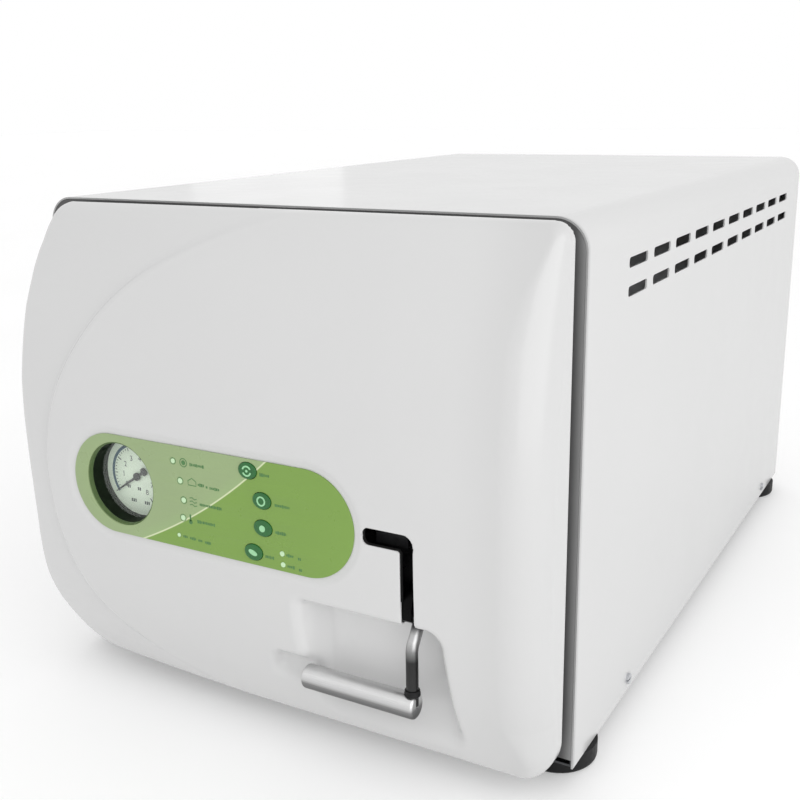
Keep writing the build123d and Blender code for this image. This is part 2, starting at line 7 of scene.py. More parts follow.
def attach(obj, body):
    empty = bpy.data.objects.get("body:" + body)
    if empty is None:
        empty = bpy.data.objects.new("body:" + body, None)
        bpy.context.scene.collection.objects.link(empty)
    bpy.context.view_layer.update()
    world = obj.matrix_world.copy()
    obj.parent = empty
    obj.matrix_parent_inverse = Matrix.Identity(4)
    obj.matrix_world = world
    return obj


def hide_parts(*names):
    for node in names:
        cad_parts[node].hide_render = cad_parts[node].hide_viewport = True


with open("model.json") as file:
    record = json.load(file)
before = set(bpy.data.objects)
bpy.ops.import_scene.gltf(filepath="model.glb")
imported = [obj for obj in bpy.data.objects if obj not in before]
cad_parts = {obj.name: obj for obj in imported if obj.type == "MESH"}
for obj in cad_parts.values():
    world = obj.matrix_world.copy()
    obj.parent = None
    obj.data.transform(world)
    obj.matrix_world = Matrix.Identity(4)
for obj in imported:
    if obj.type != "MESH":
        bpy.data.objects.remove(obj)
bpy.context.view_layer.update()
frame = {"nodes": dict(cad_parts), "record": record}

# The drawing frame has the casing's front plane at Y = 0 and its bottom edge
# at Z = 0, in millimetres; the part's own frame stands on the bench.
SY, SZ = -(676.0 - 63.75) / 2.0, 14.0


def W(x, y, z):
    return (x / 1000.0, (y + SY) / 1000.0, (z + SZ) / 1000.0)


def Wa(p):
    p = np.asarray(p, float)
    return (p + np.array([0.0, SY, SZ])) / 1000.0


# ------------------------------------------------------------------ camera
def look_basis(az, el, roll):
    az, el, roll = map(math.radians, (az, el, roll))
    fwd = Vector((-math.sin(az) * math.cos(el), math.cos(az) * math.cos(el), -math.sin(el)))
    right = fwd.cross(Vector((0, 0, 1))).normalized()
    up = right.cross(fwd)
    r = right * math.cos(roll) + up * math.sin(roll)
    u = -right * math.sin(roll) + up * math.cos(roll)
    return r, u, fwd


r_, u_, f_ = look_basis(30.209, 15.194, -1.007)
cam_data = bpy.data.cameras.new("photo_camera")
cam = bpy.data.objects.new("photo_camera", cam_data)
bpy.context.scene.collection.objects.link(cam)
cam.matrix_world = Matrix(((r_.x, u_.x, -f_.x, 0), (r_.y, u_.y, -f_.y, 0), (r_.z, u_.z, -f_.z, 0), (0, 0, 0, 1)))
cam.location = W(421.828, -585.167, 420.138)
cam_data.sensor_width = 36.0
cam_data.sensor_fit = 'HORIZONTAL'
cam_data.lens = 1080.21 * 36.0 / 800.0
cam_data.shift_x = (400 - 390.631) / 800.0
cam_data.shift_y = (394.056 - 400) / 800.0
cam_data.clip_start = 0.01
cam_data.clip_end = 50
bpy.context.scene.camera = cam

# ------------------------------------------------------------------ helpers


def add_mesh(name, verts, faces, mats=(), smooth=True, mat_index=None, body=None):
    me = bpy.data.meshes.new(name)
    me.from_pydata([tuple(v) for v in verts], [], [tuple(f) for f in faces])
    for m in mats:
        me.materials.append(m)
    if mat_index is not None:
        me.polygons.foreach_set("material_index", np.asarray(mat_index, dtype=np.int32))
    me.polygons.foreach_set("use_smooth", np.full(len(me.polygons), smooth))
    me.update()
    ob = bpy.data.objects.new(name, me)
    bpy.context.scene.collection.objects.link(ob)
    if body:
        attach(ob, body)
    return ob


def sharp(ob, deg=35.0):
    ob.data.set_sharp_from_angle(angle=math.radians(deg))
    return ob


def from_bmesh(name, bm, mats=(), smooth=True, body=None, deg=35.0):
    bmesh.ops.recalc_face_normals(bm, faces=bm.faces)
    me = bpy.data.meshes.new(name)
    bm.to_mesh(me)
    bm.free()
    for m in mats:
        me.materials.append(m)
    me.polygons.foreach_set("use_smooth", np.full(len(me.polygons), smooth))
    ob = bpy.data.objects.new(name, me)
    bpy.context.scene.collection.objects.link(ob)
    if smooth:
        sharp(ob, deg)
    if body:
        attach(ob, body)
    return ob


# smooth cubic through points (natural ends), chord-length parameter
def cubic(points, n):
    p = np.asarray(points, float)
    t = np.concatenate([[0], np.cumsum(np.linalg.norm(np.diff(p, axis=0), axis=1))])
    h = np.diff(t)
    m = len(p)
    A = np.zeros((m, m))
    B = np.zeros((m, p.shape[1]))
    A[0, 0] = A[-1, -1] = 1
    for i in range(1, m - 1):
        A[i, i - 1] = h[i - 1]
        A[i, i] = 2 * (h[i - 1] + h[i])
        A[i, i + 1] = h[i]
        B[i] = 6 * ((p[i + 1] - p[i]) / h[i] - (p[i] - p[i - 1]) / h[i - 1])
    M2 = np.linalg.solve(A, B)
    s = np.linspace(0, t[-1], n)
    k = np.clip(np.searchsorted(t, s, side="right") - 1, 0, m - 2)
    a = (t[k + 1] - s)[:, None]
    b = (s - t[k])[:, None]
    hk = h[k][:, None]
    return (M2[k] * a ** 3 + M2[k + 1] * b ** 3) / (6 * hk) + (p[k] / hk - M2[k] * hk / 6) * a + (p[k + 1] / hk - M2[k + 1] * hk / 6) * b


def polyline_sdf(px, pz, poly, closed_poly=None):
    """Unsigned distance from points to an open polyline (arrays), and the sign
    from a closed polygon: negative inside."""
    a = poly[:-1]
    d = poly[1:] - a
    l2 = (d ** 2).sum(1)
    P = np.stack([px.ravel(), pz.ravel()], 1)
    out = np.empty(len(P))
    for i in range(0, len(P), 20000):
        q = P[i:i + 20000, None, :] - a[None]
        t = np.clip((q * d[None]).sum(2) / l2[None], 0, 1)
        v = q - t[..., None] * d[None]
        out[i:i + 20000] = np.sqrt((v ** 2).sum(2).min(1))
    if closed_poly is not None:
        inside = np.zeros(len(P), bool)
        c = closed_poly
        n = len(c)
        for i in range(n):
            x0, z0 = c[i]
            x1, z1 = c[(i + 1) % n]
            if z0 == z1:
                continue
            cond = (z0 > P[:, 1]) != (z1 > P[:, 1])
            xi = x0 + (P[:, 1] - z0) * (x1 - x0) / (z1 - z0)
            inside ^= cond & (P[:, 0] < xi)
        out = np.where(inside, -out, out)
    return out.reshape(px.shape)


class Table:
    """A 2-D field sampled on a fine grid and read back linearly."""

    def __init__(self, x0, x1, y0, y1, step, fn):
        self.x0, self.y0, self.s = x0, y0, step
        self.xs = np.arange(x0, x1 + step, step)
        self.ys = np.arange(y0, y1 + step, step)
        X, Y = np.meshgrid(self.xs, self.ys, indexing="ij")
        self.v = fn(X, Y)

    def __call__(self, x, y):
        u = np.clip((x - self.x0) / self.s, 0, len(self.xs) - 1.001)
        w = np.clip((y - self.y0) / self.s, 0, len(self.ys) - 1.001)
        i = u.astype(np.int64)
        j = w.astype(np.int64)
        fu = u - i
        fw = w - j
        v = self.v
        return (v[i, j] * (1 - fu) + v[i + 1, j] * fu) * (1 - fw) + (v[i, j + 1] * (1 - fu) + v[i + 1, j + 1] * fu) * fw


def rmax(a, b, r):
    """Intersection of two fields with a round outer edge of radius r."""
    u = np.maximum(a + r, 0)
    v = np.maximum(b + r, 0)
    return np.minimum(np.maximum(a, b), -r) + np.sqrt(u * u + v * v)


def rmin(a, b, r):
    return -rmax(-a, -b, r)


def smooth01(t):
    t = np.clip(t, 0, 1)
    return t * t * t * (t * (t * 6 - 15) + 10)


def surface_nets(xs, ys, zs, F):
    """Closed quad mesh of F = 0 on a rectilinear grid; F < 0 is inside."""
    S = F < 0
    nx, ny, nz = F.shape
    c = np.zeros((nx - 1, ny - 1, nz - 1), np.int8)
    for i in (0, 1):
        for j in (0, 1):
            for k in (0, 1):
                c += S[i:nx - 1 + i, j:ny - 1 + j, k:nz - 1 + k]
    act = (c > 0) & (c < 8)
    idx = np.full(act.shape, -1, np.int64)
    I, J, K = np.nonzero(act)
    idx[I, J, K] = np.arange(len(I))
    acc = np.zeros((len(I), 3))
    cnt = np.zeros(len(I))
    ax = (xs, ys, zs)
    for axis in range(3):
        for a in (0, 1):
            for b in (0, 1):
                o = [0, 0, 0]
                others = [q for q in range(3) if q != axis]
                o[others[0]] = a
                o[others[1]] = b
                p0 = [I + o[0], J + o[1], K + o[2]]
                p1 = [q.copy() for q in p0]
                p1[axis] = p1[axis] + 1
                f0 = F[p0[0], p0[1], p0[2]]
                f1 = F[p1[0], p1[1], p1[2]]
                m = (f0 < 0) != (f1 < 0)
                t = np.where(m, f0 / np.where(m, f0 - f1, 1), 0)
                pos = [ax[q][p0[q]] for q in range(3)]
                pos[axis] = ax[axis][p0[axis]] * (1 - t) + ax[axis][p1[axis]] * t
                for q in range(3):
                    acc[:, q] += np.where(m, pos[q], 0)
                cnt += m
    V = acc / cnt[:, None]
    quads = []
    for axis in range(3):
        s0 = [slice(None)] * 3
        s1 = [slice(None)] * 3
        s0[axis] = slice(0, -1)
        s1[axis] = slice(1, None)
        A, B = S[tuple(s0)], S[tuple(s1)]
        ch = A != B
        o1, o2 = [q for q in range(3) if q != axis]
        sl = [slice(None)] * 3
        sl[o1] = slice(1, -1)
        sl[o2] = slice(1, -1)
        e = np.argwhere(ch[tuple(sl)])
        e[:, o1] += 1
        e[:, o2] += 1
        flip = A[e[:, 0], e[:, 1], e[:, 2]]
        q = []
        for (d1, d2) in ((-1, -1), (0, -1), (0, 0), (-1, 0)):
            g = e.copy()
            g[:, o1] += d1
            g[:, o2] += d2
            q.append(idx[g[:, 0], g[:, 1], g[:, 2]])
        q = np.stack(q, 1)
        if axis == 1:
            flip = ~flip
        q[~flip] = q[~flip][:, ::-1]
        quads.append(q)
    return V, np.concatenate(quads)


def project(fn, V, steps=3, eps=0.05, far=1.2):
    """Moves points onto fn = 0 along its gradient."""
    P = V.copy()
    for _ in range(steps):
        f = fn(P[:, 0], P[:, 1], P[:, 2])
        g = np.stack([fn(P[:, 0] + eps, P[:, 1], P[:, 2]) - f, fn(P[:, 0], P[:, 1] + eps, P[:, 2]) - f,
                      fn(P[:, 0], P[:, 1], P[:, 2] + eps) - f], 1) / eps
        n2 = np.maximum((g ** 2).sum(1), 0.05)
        step = -(f / n2)[:, None] * g
        l = np.linalg.norm(step, axis=1)
        step *= np.minimum(1, far / np.maximum(l, 1e-9))[:, None]
        P = P + step
    return P


# ------------------------------------------------------------------ door cover
FACE = -61.4
MAIN = [(-15, 354.7), (-20, 354.4), (-24.5, 352.4), (-28.8, 347.0), (-35.3, 333), (-42.5, 315), (-48.5, 296), (-53.5, 276), (-57.6, 252), (-60.2, 226), (-61.3, 200),
        (-61.5, 170), (-61.4, 140), (-61.0, 115), (-59.8, 92), (-56.6, 68), (-52.0, 50), (-47.6, 37.5), (-42.6, 25), (-38.0, 14), (-33.5, 7.0), (-28.5, 4.0), (-22, 3.2), (-15, 3.2)]
main_curve = cubic(MAIN, 900)
_mo = np.argsort(main_curve[:, 1])
MAIN_Z, MAIN_Y = main_curve[_mo, 1], main_curve[_mo, 0]
main_poly = np.vstack([main_curve, [[60, 3.2], [60, 354.7]]])
D_main = Table(-75, -2, -12, 370, 0.5, lambda Y, Z: polyline_sdf(Y, Z, np.vstack([[[60, 354.7]], main_curve, [[60, 3.2]]]), main_poly))

CREASE = [(60, 371), (27, 356), (-12, 344), (-53, 328), (-80, 315), (-103, 300), (-125, 280), (-143, 258), (-157, 237), (-167, 216), (-174, 193), (-177.5, 168), (-176.5, 143), (-171, 116), (-161, 90), (-145, 65), (-124, 46), (-98, 31), (-66, 18), (-30, 6), (10, -6)]
crease_curve = cubic(CREASE, 500)
crease_poly = np.vstack([crease_curve, [[400, -6], [400, 371]]])
C_crease = Table(-216, 216, -10, 366, 1.0, lambda X, Z: polyline_sdf(X, Z, crease_curve, crease_poly))
# x of the crease at a height, for the fall-off of the outer band
_cz = crease_curve[:, 1]
_order = np.argsort(_cz)
LEFT_DROP = np.array([(0, 11.5), (34, 11.5), (64, 11.3), (91, 11.0), (117, 11.4), (142, 10.8), (166, 9.8), (200, 9.0), (225, 9.2), (250, 11.0), (279, 13.2), (300, 16.5), (312, 17.5), (325, 17.0), (340, 12.5), (350, 7.0), (360, 3.0)])


def band_shift(x, z):
    """How far the outer band lies behind the main face."""
    c = C_crease(x, z)
    dl = np.interp(z, LEFT_DROP[:, 0], LEFT_DROP[:, 1])
    xc = np.interp(z, _cz[_order], crease_curve[_order, 0])
    s = np.clip((xc - x) / np.maximum(xc + 209, 5), 0, 1.3)
    step_h = 4.3 * np.clip((z - 20) / 40, 0.15, 1) * np.clip((390 - z) / 90, 0.45, 1)
    return step_h * smooth01((c + 3.4) / 6.8) + np.maximum(dl - step_h, 0) * s ** 1.5 * (c > 0)


def seat_shift(x, z):
    d = stadium_sdf(x, z, -150.5, 90.5, 123.6, 201.0)
    return 1.45 * smooth01((5.0 - d) / 6.5)


def stadium_sdf(x, z, x0, x1, z0, z1):
    r = (z1 - z0) / 2
    zc = (z0 + z1) / 2
    a, b = x0 + r, x1 - r
    qx = x - np.clip(x, a, b)
    return np.sqrt(qx * qx + (z - zc) ** 2) - r


def outline_sdf(x, z):
    """Rounded box in the door's plane with its own radius at each corner. Its
    top and bottom stand a little outside the section curve's own."""
    cx, cz, hx, hz = 0.15, 178.9, 210.15, 178.1
    px, pz = x - cx, z - cz
    r = np.where(px < 0, np.where(pz < 0, 76.0, 3.0), np.where(pz < 0, 28.0, 14.0))
    qx = np.abs(px) - hx + r
    qz = np.abs(pz) - hz + r
    f = np.minimum(np.maximum(qx, qz), 0) + np.sqrt(np.maximum(qx, 0) ** 2 + np.maximum(qz, 0) ** 2) - r
    # the upper corner on the hinge side is an arc that the top cuts off
    return np.maximum(f, np.hypot(np.minimum(x + 148.0, 0), np.maximum(z - 299.5, 0)) - 62.0)


def edge_radius(x, z):
    """Rounding between the face and the rim: 27 on the latch side, 8 on the
    hinge side, 4 along the top and bottom."""
    top, bot = 357.0 - z, z - 0.8
    vert = np.minimum(top, bot)
    cap = np.clip(0.75 * (-15.0 - np.interp(z, MAIN_Z, MAIN_Y)), 3.0, 27.0)
    wr = smooth01((vert - (210.3 - x)) / 70.0 + 0.5)
    wl = smooth01((vert - (210.0 + x)) / 70.0 + 0.5)
    return np.where(x > 0, 4.0 + (np.maximum(cap, 4.0) - 4.0) * wr, 4.0 + 4.0 * wl)


def pocket_field(x, y, z):
    """Negative inside the hand recess: an upright back that runs out into the
    face on a long slope below the grip."""
    ceil = z - 107.0
    back = y + 30.0
    left = (-(x - 43.0) * 28.0 + (y + 58.0) * 17.0) / math.hypot(28, 17) - (107 - z) * 0.02
    right = (x - (147.5 + (98 - z) * 0.10)) / 1.005
    slope = ((y + 30.0) * 29.0 - (z - 52.0) * 11.0) / math.hypot(29, 11)
    f = rmax(back, slope, 12.0)
    f = rmax(f, left, 8.0)
    f = rmax(f, ceil, 5.0)
    return rmax(f, right, 10.0)


def scoop_field(x, y, z):
    """Short U-shaped trough that clears the grip's free end."""
    round_ = np.sqrt(np.maximum(y + 56.0, 0) ** 2 + (z - 51.0) ** 2) - 11.2
    return rmax(round_, np.abs(x - 39.5) - 22.5, 7.0)


def slot_field(x, z):
    """L-shaped slot in the door's plane."""
    v = np.maximum(np.abs(x - 125.4) - 4.6, np.abs(z - 130) - 33.0)
    cx0, cx1 = 94.6, 130.0
    hx = (cx1 - cx0) / 2
    px = x - (cx0 + cx1) / 2
    pz = z - 162.75
    r = np.where((px > 0) & (pz > 0), 7.0, 4.5)
    qx = np.abs(px) - hx + r
    qz = np.abs(pz) - 5.65 + r
    h = np.minimum(np.maximum(qx, qz), 0) + np.sqrt(np.maximum(qx, 0) ** 2 + np.maximum(qz, 0) ** 2) - r
    # trim the leg's square top so that the outer corner is the rounded one
    v = np.maximum(v, z - 160)
    return rmin(h, v, 2.0)


def box2(x, z, x0, x1, z0, z1):
    return np.maximum(np.abs(x - (x0 + x1) / 2) - (x1 - x0) / 2, np.abs(z - (z0 + z1) / 2) - (z1 - z0) / 2)


def cover_front(x, y, z):
    f = rmax(D_main(y - band_shift(x, z) - seat_shift(x, z), z), outline_sdf(x, z), edge_radius(x, z))
    f = np.maximum(f, y + 14.9)
    pk = rmin(pocket_field(x, y, z), scoop_field(x, y, z), 6.0)
    f = rmax(f, -pk, 4.6)
    return f


def cover_field(x, y, z):
    front = cover_front(x, y, z)
    # the wall is a little thicker along the crease
    inner = D_main(y - band_shift(x, z) - seat_shift(x, z), z) + 4.6 + 1.9 * np.exp(-(C_crease(x, z) / 8.0) ** 2)
    inner = rmax(inner, outline_sdf(x, z) + 4.6, np.maximum(edge_radius(x, z) - 4.6, 1.5))
    inner = np.maximum(inner, y + 8.0)
    pk = rmin(pocket_field(x, y, z), scoop_field(x, y, z), 6.0)
    inner = np.maximum(inner, -(pk - 4.4))
    f = np.maximum(front, -inner)
    # slot, ceiling opening, gauge hole, window behind the control plate
    f = rmax(f, -np.maximum(slot_field(x, z), y + 50.0), 0.5)
    f = np.maximum(f, -np.maximum(np.maximum(box2(x, z, 94.5, 131.2, 104.0, 118.0), y + 34.0), -(y + 53.5)))
    f = np.maximum(f, -np.maximum(np.sqrt((x + 105.0) ** 2 + (z - 163.0) ** 2) - 32.8, y + 50.0))
    f = np.maximum(f, -np.maximum(box2(x, z, -60.0, 40.0, 128.0, 197.5), y + 50.0))
    return f


def axis_grid(lo, hi, coarse, spans):
    """Grid lines with a finer step inside the given spans."""
    out = [lo]
    while out[-1] < hi:
        s = coarse
        for (a, b, st) in spans:
            if a - st * 0.5 <= out[-1] < b:
                s = st
        out.append(out[-1] + s)
    return np.array(out)


def build_cover():
    xs = axis_grid(-213.0, 213.5, 2.0, [(90, 136, 1.0), (20, 62, 1.5), (140, 166, 1.5), (-213, -198, 1.2), (196, 213, 1.5)])
    ys = axis_grid(-65.0, -12.0, 1.5, [(-65, -52, 1.0)])
    zs = axis_grid(0.0, 358.0, 2.0, [(0, 12, 1.3), (34, 62, 1.5), (96, 172, 1.0), (344, 358, 1.3)])
    X, Y, Z = np.meshgrid(xs, ys, zs, indexing="ij")
    F = cover_field(X, Y, Z)
    V, Q = surface_nets(xs, ys, zs, F)
    V = project(cover_field, V, steps=3)
    # faces of the inner side get a near-black painted shade, so that the slot and openings read dark
    C = V[Q].mean(1)
    fr = cover_front(C[:, 0], C[:, 1], C[:, 2])
    inner = (fr < -1.2)
    return V, Q, inner



# ------------------------------------------------------------------ materials
def new_mat(name):
    m = bpy.data.materials.new(name)
    m.use_nodes = True
    nt = m.node_tree
    b = nt.nodes["Principled BSDF"]
    return m, nt, b


def coords(nt):
    tc = nt.nodes.new("ShaderNodeTexCoord")
    return tc.outputs["Object"]


def noise(nt, scale, detail=3.0, rough=0.5, vec=None, stretch=None):
    n = nt.nodes.new("ShaderNodeTexNoise")
    n.inputs["Scale"].default_value = scale
    n.inputs["Detail"].default_value = detail
    n.inputs["Roughness"].default_value = rough
    v = vec if vec is not None else coords(nt)
    if stretch:
        mp = nt.nodes.new("ShaderNodeMapping")
        mp.inputs["Scale"].default_value = stretch
        nt.links.new(v, mp.inputs["Vector"])
        v = mp.outputs["Vector"]
    nt.links.new(v, n.inputs["Vector"])
    return n.outputs["Fac"]


def ramp(nt, fac, stops):
    r = nt.nodes.new("ShaderNodeValToRGB")
    els = r.color_ramp.elements
    while len(els) < len(stops):
        els.new(0.5)
    for e, (pos, col) in zip(els, stops):
        e.position = pos
        e.color = (col[0], col[1], col[2], 1.0) if not isinstance(col, (int, float)) else (col, col, col, 1.0)
    nt.links.new(fac, r.inputs["Fac"])
    return r.outputs["Color"]


def bump(nt, b, height, strength, distance):
    bp = nt.nodes.new("ShaderNodeBump")
    bp.inputs["Strength"].default_value = strength
    bp.inputs["Distance"].default_value = distance
    nt.links.new(height, bp.inputs["Height"])
    nt.links.new(bp.outputs["Normal"], b.inputs["Normal"])


def span(nt, axis, a, b, lo=0.0, hi=1.0):
    """Smooth change from lo to hi over a stretch of one axis (drawing millimetres)."""
    sep = nt.nodes.new("ShaderNodeSeparateXYZ")
    nt.links.new(coords(nt), sep.inputs[0])
    off = {"X": 0.0, "Y": SY, "Z": SZ}[axis]
    mr = nt.nodes.new("ShaderNodeMapRange")
    mr.interpolation_type = "SMOOTHSTEP"
    mr.inputs["From Min"].default_value = (a + off) / 1000.0
    mr.inputs["From Max"].default_value = (b + off) / 1000.0
    mr.inputs["To Min"].default_value = lo
    mr.inputs["To Max"].default_value = hi
    nt.links.new(sep.outputs[axis], mr.inputs["Value"])
    return mr.outputs["Result"]


def times(nt, *vals):
    out = vals[0]
    for v in vals[1:]:
        n = nt.nodes.new("ShaderNodeMath")
        n.operation = "MULTIPLY"
        nt.links.new(out, n.inputs[0])
        nt.links.new(v, n.inputs[1])
        out = n.outputs[0]
    return out


def varied(name, col, rough, var=0.02, rvar=0.04, scale=60.0, metallic=0.0, bump_s=0.0, bump_d=0.0001, bump_scale=900.0, coat=0.0, spec=0.5, stretch=None, detail=4.0, tone=None):
    """Colour and roughness that wander a little over the surface, and a fine
    surface texture."""
    m, nt, b = new_mat(name)
    f = noise(nt, scale, detail, 0.55, stretch=stretch)
    lo = [max(c * (1 - var), 0) for c in col]
    hi = [min(c * (1 + var), 1) for c in col]
    colour = ramp(nt, f, [(0.3, lo), (0.7, hi)])
    if tone:
        mix = nt.nodes.new("ShaderNodeMix")
        mix.data_type = "RGBA"
        mix.blend_type = "MULTIPLY"
        mix.inputs["Factor"].default_value = 1.0
        nt.links.new(colour, mix.inputs[6])
        nt.links.new(tone(nt), mix.inputs[7])
        colour = mix.outputs[2]
    nt.links.new(colour, b.inputs["Base Color"])
    f2 = noise(nt, scale * 2.3, detail, 0.6, stretch=stretch)
    nt.links.new(ramp(nt, f2, [(0.3, max(rough - rvar, 0.02)), (0.7, min(rough + rvar, 1.0))]), b.inputs["Roughness"])
    b.inputs["Metallic"].default_value = metallic
    b.inputs["Specular IOR Level"].default_value = spec
    if coat:
        b.inputs["Coat Weight"].default_value = coat
        b.inputs["Coat Roughness"].default_value = 0.04
    if bump_s:
        h = noise(nt, bump_scale, 2.0, 0.5, stretch=stretch)
        bump(nt, b, h, bump_s, bump_d)
    return m


def moulding_tone(nt):
    """Painted light and shade on the moulding: a shade paler inside the hand recess,
    to lift the shade there, and deeper round its right edge, to damp the highlight there."""
    # painted light: up to 19 % paler inside the recess, to lift its shade
    recess = times(nt, span(nt, "X", 34, 54), span(nt, "X", 104, 152, 1.0, 0.0), span(nt, "Z", 30, 52), span(nt, "Z", 104, 112, 1.0, 0.0))
    mr = nt.nodes.new("ShaderNodeMapRange")
    mr.inputs["To Min"].default_value = 1.0
    mr.inputs["To Max"].default_value = 1.19
    nt.links.new(recess, mr.inputs["Value"])
    # painted shade: up to 8 % darker beyond x = 150, to damp the highlight on the right edge
    return times(nt, mr.outputs["Result"], span(nt, "X", 150, 200, 1.0, 0.92))


def shell_tone(nt):
    """Painted shade of the door gap: darker over the first 5 mm behind the shell's front lip."""
    return span(nt, "Y", 0.2, 5.0, 0.72, 1.0)


def panel_tone(nt):
    """Painted shade of the door gap: darker towards the middle, where the door keeps the light off."""
    return span(nt, "X", 203.5, 212.5, 0.62, 1.9)


M = {}
M["moulding"] = varied("moulding", (0.582, 0.582, 0.582), 0.25, var=0.006, rvar=0.02, scale=14, bump_s=0.03, bump_d=0.00004, bump_scale=120, coat=0.25, tone=moulding_tone)
M["moulding"].node_tree.nodes["Principled BSDF"].inputs["Coat Roughness"].default_value = 0.10
# the shell paint carries a painted shade along its front lip
M["paint"] = varied("paint", (0.552, 0.552, 0.552), 0.2, var=0.006, rvar=0.02, scale=9, bump_s=0.02, bump_d=0.00004, bump_scale=160, spec=0.36, tone=shell_tone)
# the front panel's dark grey and its lighter rim are painted shade of the door gap
M["panel_grey"] = varied("panel_grey", (0.15, 0.15, 0.15), 0.45, var=0.04, scale=30, spec=0.25, tone=panel_tone)
M["paint_inner"] = varied("paint_inner", (0.6, 0.6, 0.6), 0.4, var=0.02, scale=20)
# near-black inner side of the cover: painted shade, so that the slot and openings read dark
M["inner_painted_shade"] = varied("inner_painted_shade", (0.006, 0.006, 0.006), 0.75, var=0.3, scale=200, bump_s=0.3, bump_d=0.0002, bump_scale=1500)
M["rubber"] = varied("rubber", (0.008, 0.008, 0.0085), 0.5, var=0.25, rvar=0.08, scale=120, spec=0.2, bump_s=0.25, bump_d=0.0001, bump_scale=2500)
M["black_plastic"] = varied("black_plastic", (0.016, 0.016, 0.017), 0.32, var=0.2, rvar=0.06, scale=150, bump_s=0.2, bump_d=0.00008, bump_scale=3000)
M["brushed"] = varied("brushed", (0.66, 0.655, 0.645), 0.27, var=0.08, rvar=0.07, scale=90, metallic=1.0, bump_s=0.22, bump_d=0.00006, bump_scale=300, stretch=(1.0, 30.0, 30.0))
M["stainless"] = varied("stainless", (0.6, 0.6, 0.6), 0.3, var=0.05, rvar=0.08, scale=50, metallic=1.0, bump_s=0.15, bump_d=0.00005, bump_scale=300, stretch=(24.0, 1.0, 24.0))
M["rod"] = varied("rod", (0.55, 0.545, 0.54), 0.2, var=0.08, rvar=0.06, scale=90, metallic=1.0, bump_s=0.12, bump_d=0.00005, bump_scale=300, stretch=(30.0, 30.0, 1.0))
M["zinc"] = varied("zinc", (0.55, 0.56, 0.58), 0.38, var=0.12, rvar=0.1, scale=70, metallic=1.0, bump_s=0.1, bump_d=0.00008, bump_scale=900)
M["brass"] = varied("brass", (0.68, 0.5, 0.22), 0.3, var=0.1, rvar=0.08, scale=90, metallic=1.0, bump_s=0.12, bump_d=0.00006, bump_scale=1200)
M["silicone"] = varied("silicone", (0.62, 0.2, 0.13), 0.5, var=0.06, scale=80, bump_s=0.15, bump_d=0.0001, bump_scale=1500)
M["board"] = varied("board", (0.03, 0.16, 0.06), 0.4, var=0.25, scale=300, bump_s=0.2, bump_d=0.0001, bump_scale=800)
M["jacket"] = varied("jacket", (0.62, 0.62, 0.64), 0.45, var=0.12, scale=40, metallic=0.7, bump_s=0.5, bump_d=0.0006, bump_scale=120)
M["heater"] = varied("heater", (0.5, 0.45, 0.4), 0.4, var=0.15, scale=60, metallic=0.8)
M["key"] = varied("key", (0.012, 0.115, 0.022), 0.3, var=0.12, rvar=0.05, scale=220, bump_s=0.12, bump_d=0.00005, bump_scale=2500)
M["mint"] = varied("mint", (0.30, 0.60, 0.33), 0.35, var=0.06, scale=400)
M["mint_pale"] = varied("mint_pale", (0.50, 0.70, 0.44), 0.22, var=0.04, scale=500, coat=0.3)
M["print"] = varied("print", (0.06, 0.175, 0.05), 0.4, var=0.15, scale=500)
M["dial"] = varied("dial", (0.78, 0.90, 0.74), 0.4, var=0.02, scale=120)
M["dial_ink"] = varied("dial_ink", (0.03, 0.045, 0.05), 0.45, var=0.2, scale=900)
M["dial_blue"] = varied("dial_blue", (0.035, 0.10, 0.15), 0.4, var=0.1, scale=700)
M["pointer"] = varied("pointer", (0.012, 0.013, 0.014), 0.3, var=0.2, scale=900)


def along_z(nt, z0, z1):
    """Height over the object, 0 at z0 and 1 at z1 (drawing millimetres)."""
    sep = nt.nodes.new("ShaderNodeSeparateXYZ")
    nt.links.new(coords(nt), sep.inputs[0])
    mr = nt.nodes.new("ShaderNodeMapRange")
    mr.inputs["From Min"].default_value = (z0 + SZ) / 1000.0
    mr.inputs["From Max"].default_value = (z1 + SZ) / 1000.0
    nt.links.new(sep.outputs["Z"], mr.inputs["Value"])
    return mr.outputs["Result"]


def toned_steel(name, z0, z1, stops, rough, stretch, bscale, bstr):
    """Steel whose colour changes with height: painted highlights and painted shade
    stand in for its reflections."""
    m, nt, b = new_mat(name)
    tone = ramp(nt, along_z(nt, z0, z1), stops)
    f = noise(nt, 150.0, 4.0, 0.55, stretch=stretch)
    mix = nt.nodes.new("ShaderNodeMix")
    mix.data_type = "RGBA"
    mix.blend_type = "MULTIPLY"
    mix.inputs["Factor"].default_value = 1.0
    nt.links.new(tone, mix.inputs[6])
    nt.links.new(ramp(nt, f, [(0.3, 0.86), (0.7, 1.0)]), mix.inputs[7])
    nt.links.new(mix.outputs[2], b.inputs["Base Color"])
    b.inputs["Metallic"].default_value = 1.0
    nt.links.new(ramp(nt, f, [(0.3, rough - 0.04), (0.7, rough + 0.05)]), b.inputs["Roughness"])
    bump(nt, b, noise(nt, bscale, 3.0, 0.6, stretch=stretch), bstr, 0.00002)
    return m


# grip: painted reflection, pale on the upper half and dark on the lower half
M["brushed"] = toned_steel("brushed", 42.75, 59.25, [(0.0, 0.15), (0.22, 0.13), (0.46, 0.27), (0.58, 0.58), (0.80, 0.78), (1.0, 0.62)], 0.36, (1.0, 30.0, 30.0), 90.0, 0.2)
# rod: painted highlight on the bend, dark below it and near black above it where it runs into the slot
M["rod"] = toned_steel("rod", 60.0, 120.0, [(0.0, 0.05), (0.38, 0.045), (0.50, 0.26), (0.60, 0.56), (0.66, 0.52), (0.71, 0.20), (0.75, 0.010), (1.0, 0.008)], 0.3, (30.0, 30.0, 1.0), 60.0, 0.12)


